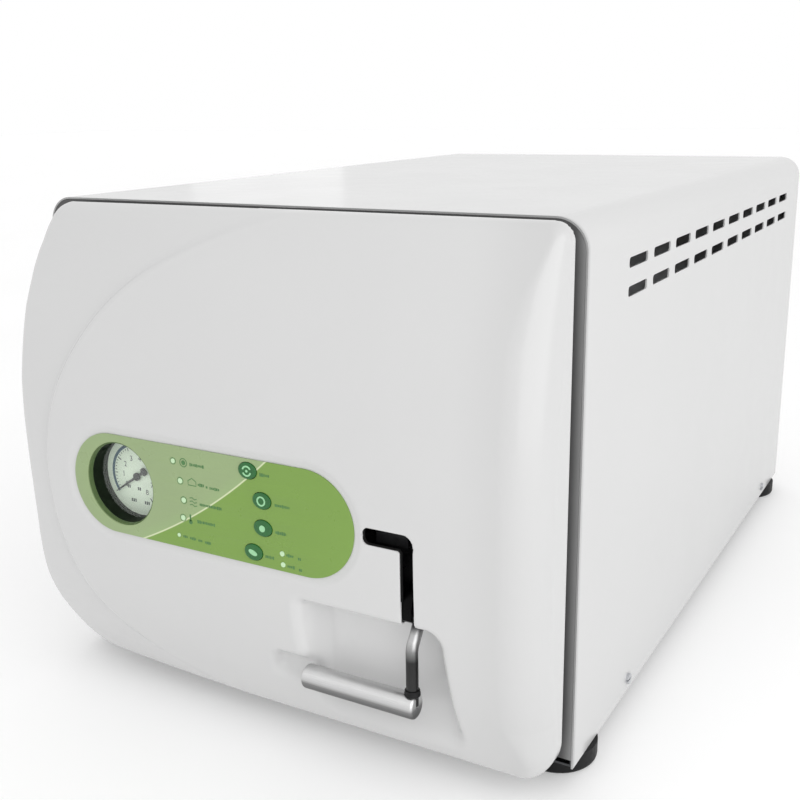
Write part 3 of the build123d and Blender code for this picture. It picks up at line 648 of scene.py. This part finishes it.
def glass_mat():
    """Thin clear pane: mostly see-through, with a gloss of its own."""
    m, nt, b = new_mat("clear_glass")
    f = noise(nt, 30.0, 2.0)
    nt.links.new(ramp(nt, f, [(0.3, 0.015), (0.7, 0.03)]), b.inputs["Roughness"])
    nt.links.new(ramp(nt, f, [(0.0, (0.90, 0.95, 0.92)), (1.0, (0.94, 0.98, 0.95))]), b.inputs["Base Color"])
    b.inputs["Alpha"].default_value = 0.07
    b.inputs["Specular IOR Level"].default_value = 0.5
    return m


M["glass"] = glass_mat()


def circle3(p, q, r):
    ax, ay = p
    bx, by = q
    cx, cy = r
    d = 2 * (ax * (by - cy) + bx * (cy - ay) + cx * (ay - by))
    ux = ((ax * ax + ay * ay) * (by - cy) + (bx * bx + by * by) * (cy - ay) + (cx * cx + cy * cy) * (ay - by)) / d
    uy = ((ax * ax + ay * ay) * (cx - bx) + (bx * bx + by * by) * (ax - cx) + (cx * cx + cy * cy) * (bx - ax)) / d
    return ux, uy, math.hypot(ax - ux, ay - uy)


def overlay_mat():
    """Two greens that meet on a long arc with a thin pale line between."""
    m, nt, b = new_mat("overlay_print")
    cx, cz, R = circle3((-90, 124), (-26, 160), (26, 202))
    sep = nt.nodes.new("ShaderNodeSeparateXYZ")
    nt.links.new(coords(nt), sep.inputs[0])
    comb = nt.nodes.new("ShaderNodeCombineXYZ")
    nt.links.new(sep.outputs["X"], comb.inputs["X"])
    nt.links.new(sep.outputs["Z"], comb.inputs["Z"])
    dist = nt.nodes.new("ShaderNodeVectorMath")
    dist.operation = "DISTANCE"
    nt.links.new(comb.outputs[0], dist.inputs[0])
    w = W(cx, 0, cz)
    dist.inputs[1].default_value = (w[0], 0.0, w[2])
    mr = nt.nodes.new("ShaderNodeMapRange")
    mr.inputs["From Min"].default_value = (R - 8.0) / 1000.0
    mr.inputs["From Max"].default_value = (R + 8.0) / 1000.0
    nt.links.new(dist.outputs["Value"], mr.inputs["Value"])
    pale_in = (0.280, 0.372, 0.180)
    pale_edge = (0.285, 0.395, 0.180)
    line = (0.58, 0.65, 0.40)
    dark = (0.178, 0.310, 0.054)
    band = ramp(nt, mr.outputs["Result"], [(0.0, pale_in), (0.46, pale_edge), (0.475, line), (0.525, line), (0.54, dark), (1.0, dark)])
    # soft wandering of the print's tone
    f = noise(nt, 11.0, 2.0)
    mix = nt.nodes.new("ShaderNodeMix")
    mix.data_type = "RGBA"
    mix.blend_type = "MULTIPLY"
    mix.inputs["Factor"].default_value = 1.0
    nt.links.new(band, mix.inputs[6])
    nt.links.new(ramp(nt, f, [(0.3, 0.95), (0.7, 1.0)]), mix.inputs[7])
    nt.links.new(mix.outputs[2], b.inputs["Base Color"])
    f2 = noise(nt, 60.0, 3.0)
    nt.links.new(ramp(nt, f2, [(0.3, 0.26), (0.7, 0.34)]), b.inputs["Roughness"])
    h = noise(nt, 380.0, 2.0)
    bump(nt, b, h, 0.05, 0.00003)
    return m


M["overlay"] = overlay_mat()

# ------------------------------------------------------------------ carried-over nodes
SLOT_MAT = {"white_enamel": "paint", "grey_enamel": "panel_grey", "white_moulding": "moulding", "green_overlay": "overlay", "green_keys": "key", "lens_white": "mint_pale",
            "black_plastic": "black_plastic", "black_rubber": "rubber", "silicone": "silicone", "stainless": "stainless", "zinc_steel": "zinc", "brass": "brass",
            "dial_white": "dial", "pointer_black": "pointer", "clear_glass": "glass", "board_green": "board", "jacket": "jacket", "heater": "heater"}
M["pan_steel"] = varied("pan_steel", (0.09, 0.092, 0.096), 0.5, var=0.12, rvar=0.1, scale=70, metallic=1.0, bump_s=0.1, bump_d=0.00008, bump_scale=900)
# the front panel takes the dark grey with the painted shade of the door gap
NODE_MAT = {"base_pan": "pan_steel", "front_panel": "panel_grey"}
node_slot = {sp["node"]: sp["material_slot"] for sp in frame["record"]["subparts"]}
for name, ob in frame["nodes"].items():
    m = M[NODE_MAT.get(name, SLOT_MAT[node_slot[name]])]
    for ms in ob.material_slots:
        ms.material = m
    if not ob.material_slots:
        ob.data.materials.append(m)

# ------------------------------------------------------------------ door cover piece
cover_V, cover_Q, cover_inner = build_cover()
_a, _b, _c, _d = (cover_V[cover_Q[:, k]] for k in range(4))
if (np.einsum("ij,ij->i", _a, np.cross(_b, _c)) + np.einsum("ij,ij->i", _a, np.cross(_c, _d))).sum() < 0:
    cover_Q = cover_Q[:, ::-1]
door_cover = add_mesh("door_cover_moulding", Wa(cover_V), cover_Q, [M["moulding"], M["inner_painted_shade"]], mat_index=cover_inner.astype(np.int32), body="door")
sharp(door_cover, 50)
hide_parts("door_cover")


# ------------------------------------------------------------------ flat plates with holes
def ring_pts(kind, n=48):
    """Outline of a stadium, oval or circle as (x, z) points, anticlockwise."""
    if kind[0] == "circle":
        _, x, z, r = kind
        return [(x + r * math.cos(2 * math.pi * i / n), z + r * math.sin(2 * math.pi * i / n)) for i in range(n)]
    if kind[0] == "ellipse":
        _, x, z, a, b = kind
        return [(x + a * math.cos(2 * math.pi * i / n), z + b * math.sin(2 * math.pi * i / n)) for i in range(n)]
    _, x0, x1, z0, z1 = kind
    r = (z1 - z0) / 2
    zc = (z0 + z1) / 2
    out = []
    h = n // 2
    for i in range(h + 1):
        a = -math.pi / 2 + math.pi * i / h
        out.append((x1 - r + r * math.cos(a), zc + r * math.sin(a)))
    for i in range(h + 1):
        a = math.pi / 2 + math.pi * i / h
        out.append((x0 + r + r * math.cos(a), zc + r * math.sin(a)))
    return out


def plate(name, outer, holes, y_front, y_back, mats, body, edge=0.25):
    """Plate in the door's plane with holes and a softened front edge."""
    cu = bpy.data.curves.new(name + "_c", "CURVE")
    cu.dimensions = "2D"
    cu.fill_mode = "BOTH"
    for loop in [outer] + holes:
        sp = cu.splines.new("POLY")
        sp.points.add(len(loop) - 1)
        for p, (x, z) in zip(sp.points, loop):
            p.co = (x, z, 0, 1)
        sp.use_cyclic_u = True
    t = abs(y_back - y_front)
    cu.extrude = t / 2 - edge if edge else t / 2
    cu.bevel_depth = edge
    cu.bevel_resolution = 3
    cu.offset = -edge
    tmp = bpy.data.objects.new(name + "_t", cu)
    bpy.context.scene.collection.objects.link(tmp)
    me = bpy.data.meshes.new_from_object(tmp)
    bpy.data.objects.remove(tmp)
    n = len(me.vertices)
    co = np.empty(n * 3)
    me.vertices.foreach_get("co", co)
    co = co.reshape(-1, 3)
    yc = (y_front + y_back) / 2
    P = np.stack([co[:, 0], yc - co[:, 2], co[:, 1]], 1)
    bm = bmesh.new()
    bm.from_mesh(me)
    for v, p in zip(bm.verts, Wa(P)):
        v.co = p
    bpy.data.meshes.remove(me)
    bmesh.ops.remove_doubles(bm, verts=bm.verts, dist=1e-7)
    ob = from_bmesh(name, bm, mats, body=body, deg=40)
    return ob


KEYS = [(8.5, 191.0), (18.9, 172.0), (18.8, 153.0), (10.2, 134.6)]
LEDS = [(-54.5, 188.0, 1.7), (-49.3, 174.6, 1.9), (-47.3, 161.0, 1.9), (-48.8, 148.0, 1.9), (-53.5, 134.5, 1.4), (33.2, 138.0, 1.8), (33.6, 130.4, 1.8)]
holes = [ring_pts(("circle", -105.0, 163.0, 30.6), 96)]
holes += [ring_pts(("ellipse", x, z, 7.5, 5.9), 56) for (x, z) in KEYS]
holes += [ring_pts(("circle", x, z, r + 0.1), 24) for (x, z, r) in LEDS]
ov = plate("control_overlay_print", ring_pts(("stadium", -148.5, 88.5, 125.6, 199.0), 128), holes, -60.85, -60.0, [M["overlay"]], "door", 0.2)
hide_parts("control_overlay")


# keys: domed oval caps whose straight side runs back behind the plate
def dome_cap(name, kind, y_front, y_side, y_back, mats, body, rise=0.5, rings=5):
    base = np.array(ring_pts(kind, 48))
    c = base.mean(0)
    levels = [(1.0, y_back), (1.0, y_side)]
    for i in range(1, rings + 1):
        a = i / rings * math.pi / 2
        levels.append((1 - 0.16 * (1 - math.cos(a)), y_side + (y_front + rise - y_side) * math.sin(a)))
    for i in range(1, rings + 1):
        t = i / (rings + 0.0)
        levels.append((0.84 * (1 - t) if i < rings else 0.0, y_front + rise * (1 - t) ** 2))
    bm = bmesh.new()
    loops = []
    for (s, y) in levels:
        if s > 0:
            loops.append([bm.verts.new(W(c[0] + (x - c[0]) * s, y, c[1] + (z - c[1]) * s)) for (x, z) in base])
        else:
            loops.append([bm.verts.new(W(c[0], y, c[1]))])
    bm.faces.new(loops[0])
    for a, b in zip(loops[:-1], loops[1:]):
        n = len(a)
        for i in range(n):
            j = (i + 1) % n
            if len(b) == 1:
                bm.faces.new((a[i], a[j], b[0]))
            else:
                bm.faces.new((a[i], a[j], b[j], b[i]))
    return from_bmesh(name, bm, mats, body=body, deg=40)


def arc_pts(x, z, r, a0, a1, n=24):
    return [(x + r * math.cos(math.radians(a0 + (a1 - a0) * i / (n - 1))), z + r * math.sin(math.radians(a0 + (a1 - a0) * i / (n - 1)))) for i in range(n)]


def lathe(bm, axis, centre, prof, n=64):
    """Solid of revolution into bm. prof is a closed loop of (radius, along)
    points, or an open one that starts and ends on the axis."""
    def pt(r, t, a):
        c, q = r * math.cos(a), r * math.sin(a)
        if axis == "x":
            return W(t, centre[0] + c, centre[1] + q)
        if axis == "y":
            return W(centre[0] + c, t, centre[1] + q)
        return W(centre[0] + c, centre[1] + q, t)
    rings = []
    for (r, t) in prof:
        if r < 1e-6:
            rings.append([bm.verts.new(pt(0, t, 0))])
        else:
            rings.append([bm.verts.new(pt(r, t, 2 * math.pi * i / n)) for i in range(n)])
    closed = len(rings[0]) > 1
    m = len(rings)
    for k in range(m if closed else m - 1):
        a, b = rings[k], rings[(k + 1) % m]
        for i in range(n):
            j = (i + 1) % n
            if len(a) == 1:
                bm.faces.new((a[0], b[i], b[j]))
            elif len(b) == 1:
                bm.faces.new((a[i], a[j], b[0]))
            else:
                bm.faces.new((a[i], a[j], b[j], b[i]))
    return bm


class Ink:
    """Thin raised prints gathered into one mesh."""

    def __init__(self, y, thick):
        self.bm, self.y, self.t = bmesh.new(), y, thick

    def line(self, pts, width, closed=False):
        P = [Vector((p[0], p[1])) for p in pts]
        n = len(P)
        secs = []
        for i in range(n):
            a = P[(i - 1) % n] if (closed or i > 0) else P[i]
            b = P[(i + 1) % n] if (closed or i < n - 1) else P[i]
            d = (b - a).normalized()
            nrm = Vector((-d.y, d.x)) * width / 2
            secs.append([self.bm.verts.new(W(q.x, yy, q.y)) for (q, yy) in ((P[i] + nrm, self.y), (P[i] - nrm, self.y), (P[i] - nrm, self.y + self.t), (P[i] + nrm, self.y + self.t))])
        for i in (range(n) if closed else range(n - 1)):
            s_, t_ = secs[i], secs[(i + 1) % n]
            for k in range(4):
                self.bm.faces.new((s_[k], s_[(k + 1) % 4], t_[(k + 1) % 4], t_[k]))
        if not closed:
            self.bm.faces.new(secs[0])
            self.bm.faces.new(secs[-1][::-1])

    def disc(self, x, z, r, n=32, sx=1.0, rot=0.0):
        lo, hi = [], []
        for i in range(n):
            a = 2 * math.pi * i / n
            u, v = r * sx * math.cos(a), r * math.sin(a)
            px, pz = x + u * math.cos(rot) - v * math.sin(rot), z + u * math.sin(rot) + v * math.cos(rot)
            lo.append(self.bm.verts.new(W(px, self.y, pz)))
            hi.append(self.bm.verts.new(W(px, self.y + self.t, pz)))
        self.bm.faces.new(lo)
        self.bm.faces.new(hi[::-1])
        for i in range(n):
            j = (i + 1) % n
            self.bm.faces.new((lo[i], lo[j], hi[j], hi[i]))

    def numeral(self, text, x, z, size):
        """A plain numeral from the built-in font, centred on (x, z)."""
        cu = bpy.data.curves.new("numeral", "FONT")
        cu.body = text
        cu.size = size
        cu.align_x = "CENTER"
        cu.align_y = "CENTER"
        cu.extrude = self.t / 2
        tmp = bpy.data.objects.new("numeral", cu)
        bpy.context.scene.collection.objects.link(tmp)
        me = bpy.data.meshes.new_from_object(tmp)
        bpy.data.objects.remove(tmp)
        new = [self.bm.verts.new(W(x + v.co.x, self.y + self.t / 2 - v.co.z, z + v.co.y)) for v in me.vertices]
        for f in me.polygons:
            try:
                self.bm.faces.new([new[i] for i in f.vertices])
            except ValueError:
                pass
        bpy.data.meshes.remove(me)

    def make(self, name, mat_, body):
        bmesh.ops.remove_doubles(self.bm, verts=self.bm.verts, dist=1e-8)
        return from_bmesh(name, self.bm, [mat_], smooth=False, body=body)


# ------------------------------------------------------------------ keys, lenses, marks
KEY_BODY = ["start_key", "program_key", "dry_key", "temperature_key"]
for i, (x, z) in enumerate(KEYS):
    body = KEY_BODY[i]
    k = dome_cap("key_cap_%d" % (i + 1), ("ellipse", x, z, 7.2, 5.6), -61.85, -61.3, -57.4, [M["key"]], body, rise=0.2)
    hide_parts("key_%d" % (i + 1))
    ink = Ink(-62.12, 0.3)
    if i == 0:
        ink.line(arc_pts(x, z, 3.2, 25, 165), 1.1)
        ink.line(arc_pts(x, z, 3.2, 205, 345), 1.1)
        ink.disc(x, z, 0.9)
    elif i == 1:
        ink.line(arc_pts(x, z, 2.9, 0, 349, 32), 1.1, closed=True)
    elif i == 2:
        ink.disc(x, z, 2.3)
    else:
        ink.disc(x, z, 1.8, sx=2.0, rot=math.radians(-20))
    ink.make("key_icon_%d" % (i + 1), M["mint"], body)

for i, (x, z, r) in enumerate(LEDS):
    d = dome_cap("lens_%d" % (i + 1), ("circle", x, z, r), -61.3, -61.0, -60.1, [M["mint_pale"]], "door", rise=0.1, rings=4)
    if i == 0:
        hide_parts("indicator_lenses")
rims = Ink(-60.93, 0.1)
for i, (x, z, r) in enumerate(LEDS[:4]):
    rims.line(arc_pts(x, z, r + 0.6, 0, 350, 36), 0.35, closed=True)
rims.make("lens_rims", M["print"], "door")

# generic marks beside the lenses and keys: small pictograms and word-length dashes
ICONS = [(-45.5, 188.0), (-39.0, 175.0), (-39.0, 161.0), (-42.4, 148.0)]
dark = Ink(-60.92, 0.08)
x, z = ICONS[0]
dark.disc(x, z, 1.7)
dark.line(arc_pts(x, z, 2.9, 0, 350, 32), 0.6, closed=True)
x, z = ICONS[1]
dark.line([(x - 3.4, z - 2.2), (x - 3.4, z + 0.9), (x, z + 2.9), (x + 3.4, z + 0.9), (x + 3.4, z - 2.2)], 0.6, closed=True)
x, z = ICONS[2]
for k in range(3):
    dark.line([(x - 3.0, z - 2.4 + 2.4 * k), (x - 1.0, z - 1.8 + 2.4 * k), (x + 1.0, z - 3.0 + 2.4 * k), (x + 3.0, z - 2.4 + 2.4 * k)], 0.6)
x, z = ICONS[3]
dark.line([(x, z - 1.4), (x, z + 3.4)], 1.3)
dark.disc(x, z - 2.0, 1.6)
DASHES = [
    (-40.0, 187.6, 12.0), (-34.0, 174.2, 5.5), (-27.2, 173.6, 1.6), (-24.0, 173.4, 8.0), (-33.5, 160.2, 19.0), (-36.5, 147.4, 15.0),
    (-50.0, 134.2, 4.0), (-44.0, 133.9, 5.5), (-36.8, 133.6, 4.0), (-31.0, 133.3, 5.5),
    (18.0, 189.8, 7.5), (29.0, 170.8, 11.5), (28.5, 152.0, 8.5), (19.5, 133.4, 7.5), (36.5, 137.6, 6.0), (45.5, 136.9, 2.6), (37.0, 130.0, 6.0), (46.0, 129.3, 2.4)]
for i, (x, z, L) in enumerate(DASHES):
    # a dash is broken into short unequal strokes, so that it reads as small print
    rnd = random.Random(11 + i)
    u = 0.0
    while u < L:
        w_ = min(rnd.choice([0.8, 1.0, 1.3, 0.9]), L - u)
        h = rnd.choice([1.5, 1.8, 1.5, 2.3])
        if w_ > 0.3:
            dark.line([(x + u, z), (x + u + w_, z)], h)
        u += w_ + rnd.choice([0.3, 0.4])
dark.make("overlay_marks", M["print"], "door")

# ------------------------------------------------------------------ pressure gauge
GX, GZ = -105.0, 163.0
M["well_rim"] = varied("well_rim", (0.10, 0.155, 0.06), 0.4, var=0.08, scale=150, spec=0.2)
M["well"] = varied("well", (0.006, 0.012, 0.005), 0.6, spec=0.12, var=0.2, scale=150, bump_s=0.15, bump_d=0.00006, bump_scale=1800)
bm = bmesh.new()
lathe(bm, "y", (GX, GZ), [(30.55, -60.1), (30.2, -60.35), (29.75, -60.2), (29.6, -59.7), (29.6, -57.0), (30.1, -56.6), (32.5, -56.6), (32.5, -59.9), (31.0, -59.9)], 96)
o = from_bmesh("gauge_well_rim", bm, [M["well_rim"]], body="door", deg=40)
bm = bmesh.new()
lathe(bm, "y", (GX, GZ), [(29.9, -56.5), (29.55, -56.2), (29.5, -49.0), (29.5, -31.0), (5.0, -31.0), (5.0, -29.0), (32.0, -29.0), (32.5, -29.5), (32.5, -56.2), (32.2, -56.5)], 96)
o = from_bmesh("gauge_housing", bm, [M["well"]], body="door", deg=40)
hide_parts("gauge_case")


def dial_at(deg, r):
    a = math.radians(deg)
    return (GX + r * math.sin(a), GZ + r * math.cos(a))


YD = -42.68
ZERO = 236.0
ink = Ink(YD, 0.12)
ink.line([dial_at(234 + 3 * i, 23.4) for i in range(42)], 2.3)
ink.make("dial_band", M["dial_blue"], "door")
ink = Ink(YD, 0.12)
for i in range(41):
    a = ZERO + 270 * i / 40.0
    big = i % 10 == 0
    mid = i % 5 == 0
    ink.line([dial_at(a, 21.6), dial_at(a, 18.4 if big else (19.4 if mid else 20.4))], 0.9 if big else 0.55)
ink.line([dial_at(366 + 3 * i, 22.6) for i in range(46)], 0.35)
for i in range(9):
    x, z = dial_at(ZERO + 33.75 * i, 13.6)
    ink.numeral(str(i), x, z, 5.6)
for (u, v, n) in ((-8.0, -19.0, 3), (4.5, -19.4, 3), (-1.2, -9.6, 2), (-11.0, -9.0, 2)):
    for k in range(n):
        ink.line([(GX + u + 1.7 * k, GZ + v), (GX + u + 1.7 * k + 1.15, GZ + v)], 2.4)
ink.make("dial_scale", M["dial_ink"], "door")

bm = bmesh.new()
lathe(bm, "y", (GX, GZ), [(0, -47.5), (29.0, -47.5), (29.4, -47.35), (29.4, -47.05), (29.0, -46.9), (0, -46.9)], 96)
o = from_bmesh("gauge_window", bm, [M["glass"]], body="door", deg=40)
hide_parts("gauge_glass")

bm = bmesh.new()
th = math.radians(ZERO)
dx, dz = math.sin(th), math.cos(th)
ex, ez = dz, -dx


def needle_pt(along, side, y):
    return bm.verts.new(W(GX + dx * along + ex * side, y, GZ + dz * along + ez * side))


outline = [(-10.5, 2.3), (-9.8, 2.9), (-7.0, 2.9), (-6.0, 1.1), (0, 0.9), (14, 0.7), (25.0, 0.2), (25.0, -0.2), (14, -0.7), (0, -0.9), (-6.0, -1.1), (-7.0, -2.9), (-9.8, -2.9), (-10.5, -2.3)]
top = [needle_pt(a, b, -44.4) for (a, b) in outline]
bot = [needle_pt(a, b, -43.8) for (a, b) in outline]
bm.faces.new(top)
bm.faces.new(bot[::-1])
for i in range(len(outline)):
    j = (i + 1) % len(outline)
    bm.faces.new((top[i], top[j], bot[j], bot[i]))
lathe(bm, "y", (GX, GZ), [(0, -45.3), (2.2, -45.2), (2.9, -44.8), (3.0, -43.7), (1.5, -43.6), (1.5, -37.2), (0, -37.2)], 32)
o = from_bmesh("gauge_pointer_needle", bm, [M["pointer"]], body="gauge_pointer", deg=30)
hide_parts("gauge_needle")

# ------------------------------------------------------------------ lever
LX, PY, PZ, GY, GZ2 = 125.5, -41.0, 162.5, -55.5, 51.0


def fillet_path(pts, r, n=12):
    P = [Vector(p) for p in pts]
    out = [P[0]]
    for a, b, c in zip(P[:-2], P[1:-1], P[2:]):
        u, v = (a - b).normalized(), (c - b).normalized()
        ang = math.pi - u.angle(v)
        d = r * math.tan(ang / 2)
        centre = b + (u + v).normalized() * (r / math.cos(ang / 2))
        s0, s1 = b + u * d - centre, b + v * d - centre
        for i in range(n + 1):
            t = i / n
            w0 = math.sin((1 - t) * ang) / math.sin(ang)
            w1 = math.sin(t * ang) / math.sin(ang)
            out.append(centre + s0 * w0 + s1 * w1)
    out.append(P[-1])
    return out


path = fillet_path([(LX, PY, PZ - 4), (LX, PY, 111), (LX, GY, 91), (LX, GY, GZ2 + 1)], 9.0, 14)
bm = bmesh.new()
rings = []
N = 40
for i, p in enumerate(path):
    a = path[max(i - 1, 0)]
    b = path[min(i + 1, len(path) - 1)]
    t = (b - a).normalized()
    e1 = Vector((1, 0, 0))
    e2 = t.cross(e1).normalized()
    rings.append([bm.verts.new(W(*(p + e1 * 4.0 * math.cos(2 * math.pi * k / N) + e2 * 4.0 * math.sin(2 * math.pi * k / N)))) for k in range(N)])
for a, b in zip(rings[:-1], rings[1:]):
    for k in range(N):
        j = (k + 1) % N
        bm.faces.new((a[k], a[j], b[j], b[k]))
bm.faces.new(rings[0])
bm.faces.new(rings[-1][::-1])
lathe(bm, "x", (PY, PZ), [(2.55, LX - 5.6), (6.0, LX - 5.6), (6.4, LX - 5.2), (6.4, LX + 5.2), (6.0, LX + 5.6), (2.55, LX + 5.6)], 40)
# a thin plate in the rod's bend, near black from the rod's height ramp, that fills the slot with painted shade
slot_shade_web = [(-44.0, 134.0), (-52.0, 131.0), (-58.6, 124.0), (-59.8, 119.0), (-59.8, 111.6), (-58.8, 110.4), (-49.0, 107.6), (-44.0, 110.0)]
wa = [bm.verts.new(W(LX - 3.9, y, z)) for (y, z) in slot_shade_web]
wb = [bm.verts.new(W(LX + 2.3, y, z)) for (y, z) in slot_shade_web]
bm.faces.new(wa)
bm.faces.new(wb[::-1])
for i in range(len(slot_shade_web)):
    j = (i + 1) % len(slot_shade_web)
    bm.faces.new((wa[i], wa[j], wb[j], wb[i]))
o = from_bmesh("lever_bent_rod", bm, [M["rod"]], body="lever", deg=35)
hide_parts("lever_rod")

bm = bmesh.new()
lathe(bm, "z", (LX, GY), [(4.05, 58.6), (4.9, 58.6), (5.25, 59.0), (5.25, 60.6), (4.95, 61.0), (4.9, 61.6), (4.95, 62.2), (4.7, 62.8), (4.05, 62.8)], 40)
o = from_bmesh("lever_collar_ring", bm, [M["rubber"]], body="lever", deg=40)
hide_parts("lever_collar")

bm = bmesh.new()
R = 8.25
lathe(bm, "x", (GY, GZ2), [(0, 46.0), (0.9, 45.8), (1.2, 45.05), (6.0, 45.0), (7.1, 45.25), (7.9, 45.9), (8.25, 46.9), (8.25, 62), (8.25, 86), (8.25, 112), (8.25, 127.1), (7.9, 128.1), (7.1, 128.75), (6.0, 129.0), (1.2, 128.95), (0.9, 128.2), (0, 128.0)], 64)
o = from_bmesh("lever_grip_bar", bm, [M["brushed"]], body="lever", deg=35)
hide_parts("lever_grip")

# ------------------------------------------------------------------ floor and light
def floor_mat():
    m, nt, b = new_mat("studio_floor")
    f = noise(nt, 2.0, 2.0)
    nt.links.new(ramp(nt, f, [(0.3, (0.69, 0.69, 0.69)), (0.7, (0.71, 0.71, 0.71))]), b.inputs["Base Color"])
    b.inputs["Emission Color"].default_value = (1.0, 1.0, 1.0, 1.0)
    b.inputs["Emission Strength"].default_value = 0.27
    b.inputs["Roughness"].default_value = 0.6
    b.inputs["Specular IOR Level"].default_value = 0.2
    return m


S_ = 14.0
floor = add_mesh("studio_floor", [(-S_, -S_, 0), (S_, -S_, 0), (S_, S_, 0), (-S_, S_, 0)], [(0, 1, 2, 3)], [floor_mat()], smooth=False)


def area(name, loc, target, sx, sy, power, color=(1, 1, 1)):
    ld = bpy.data.lights.new(name, "AREA")
    ld.shape = "RECTANGLE"
    ld.size, ld.size_y = sx, sy
    ld.energy = power
    ld.color = color
    ob = bpy.data.objects.new(name, ld)
    bpy.context.scene.collection.objects.link(ob)
    d = Vector(target) - Vector(loc)
    ob.location = loc
    ob.rotation_mode = "QUATERNION"
    ob.rotation_quaternion = d.to_track_quat("-Z", "Y")
    return ob


world = bpy.data.worlds.new("studio")
bpy.context.scene.world = world
world.use_nodes = True
nt = world.node_tree
bg = nt.nodes["Background"]
bg.inputs["Strength"].default_value = 1.0
bg.inputs["Color"].default_value = (1.0, 1.0, 1.0, 1)
area("right_softbox", (1.08, -0.84, 0.62), (0.1, -0.2, 0.2), 1.5, 1.4, 7.2)
area("window_panel", (-1.06, 1.12, 0.49), (-0.07, -0.2, 0.37), 0.34, 0.16, 0.05)
bpy.context.scene.view_settings.view_transform = "Standard"
bpy.context.scene.view_settings.look = "None"
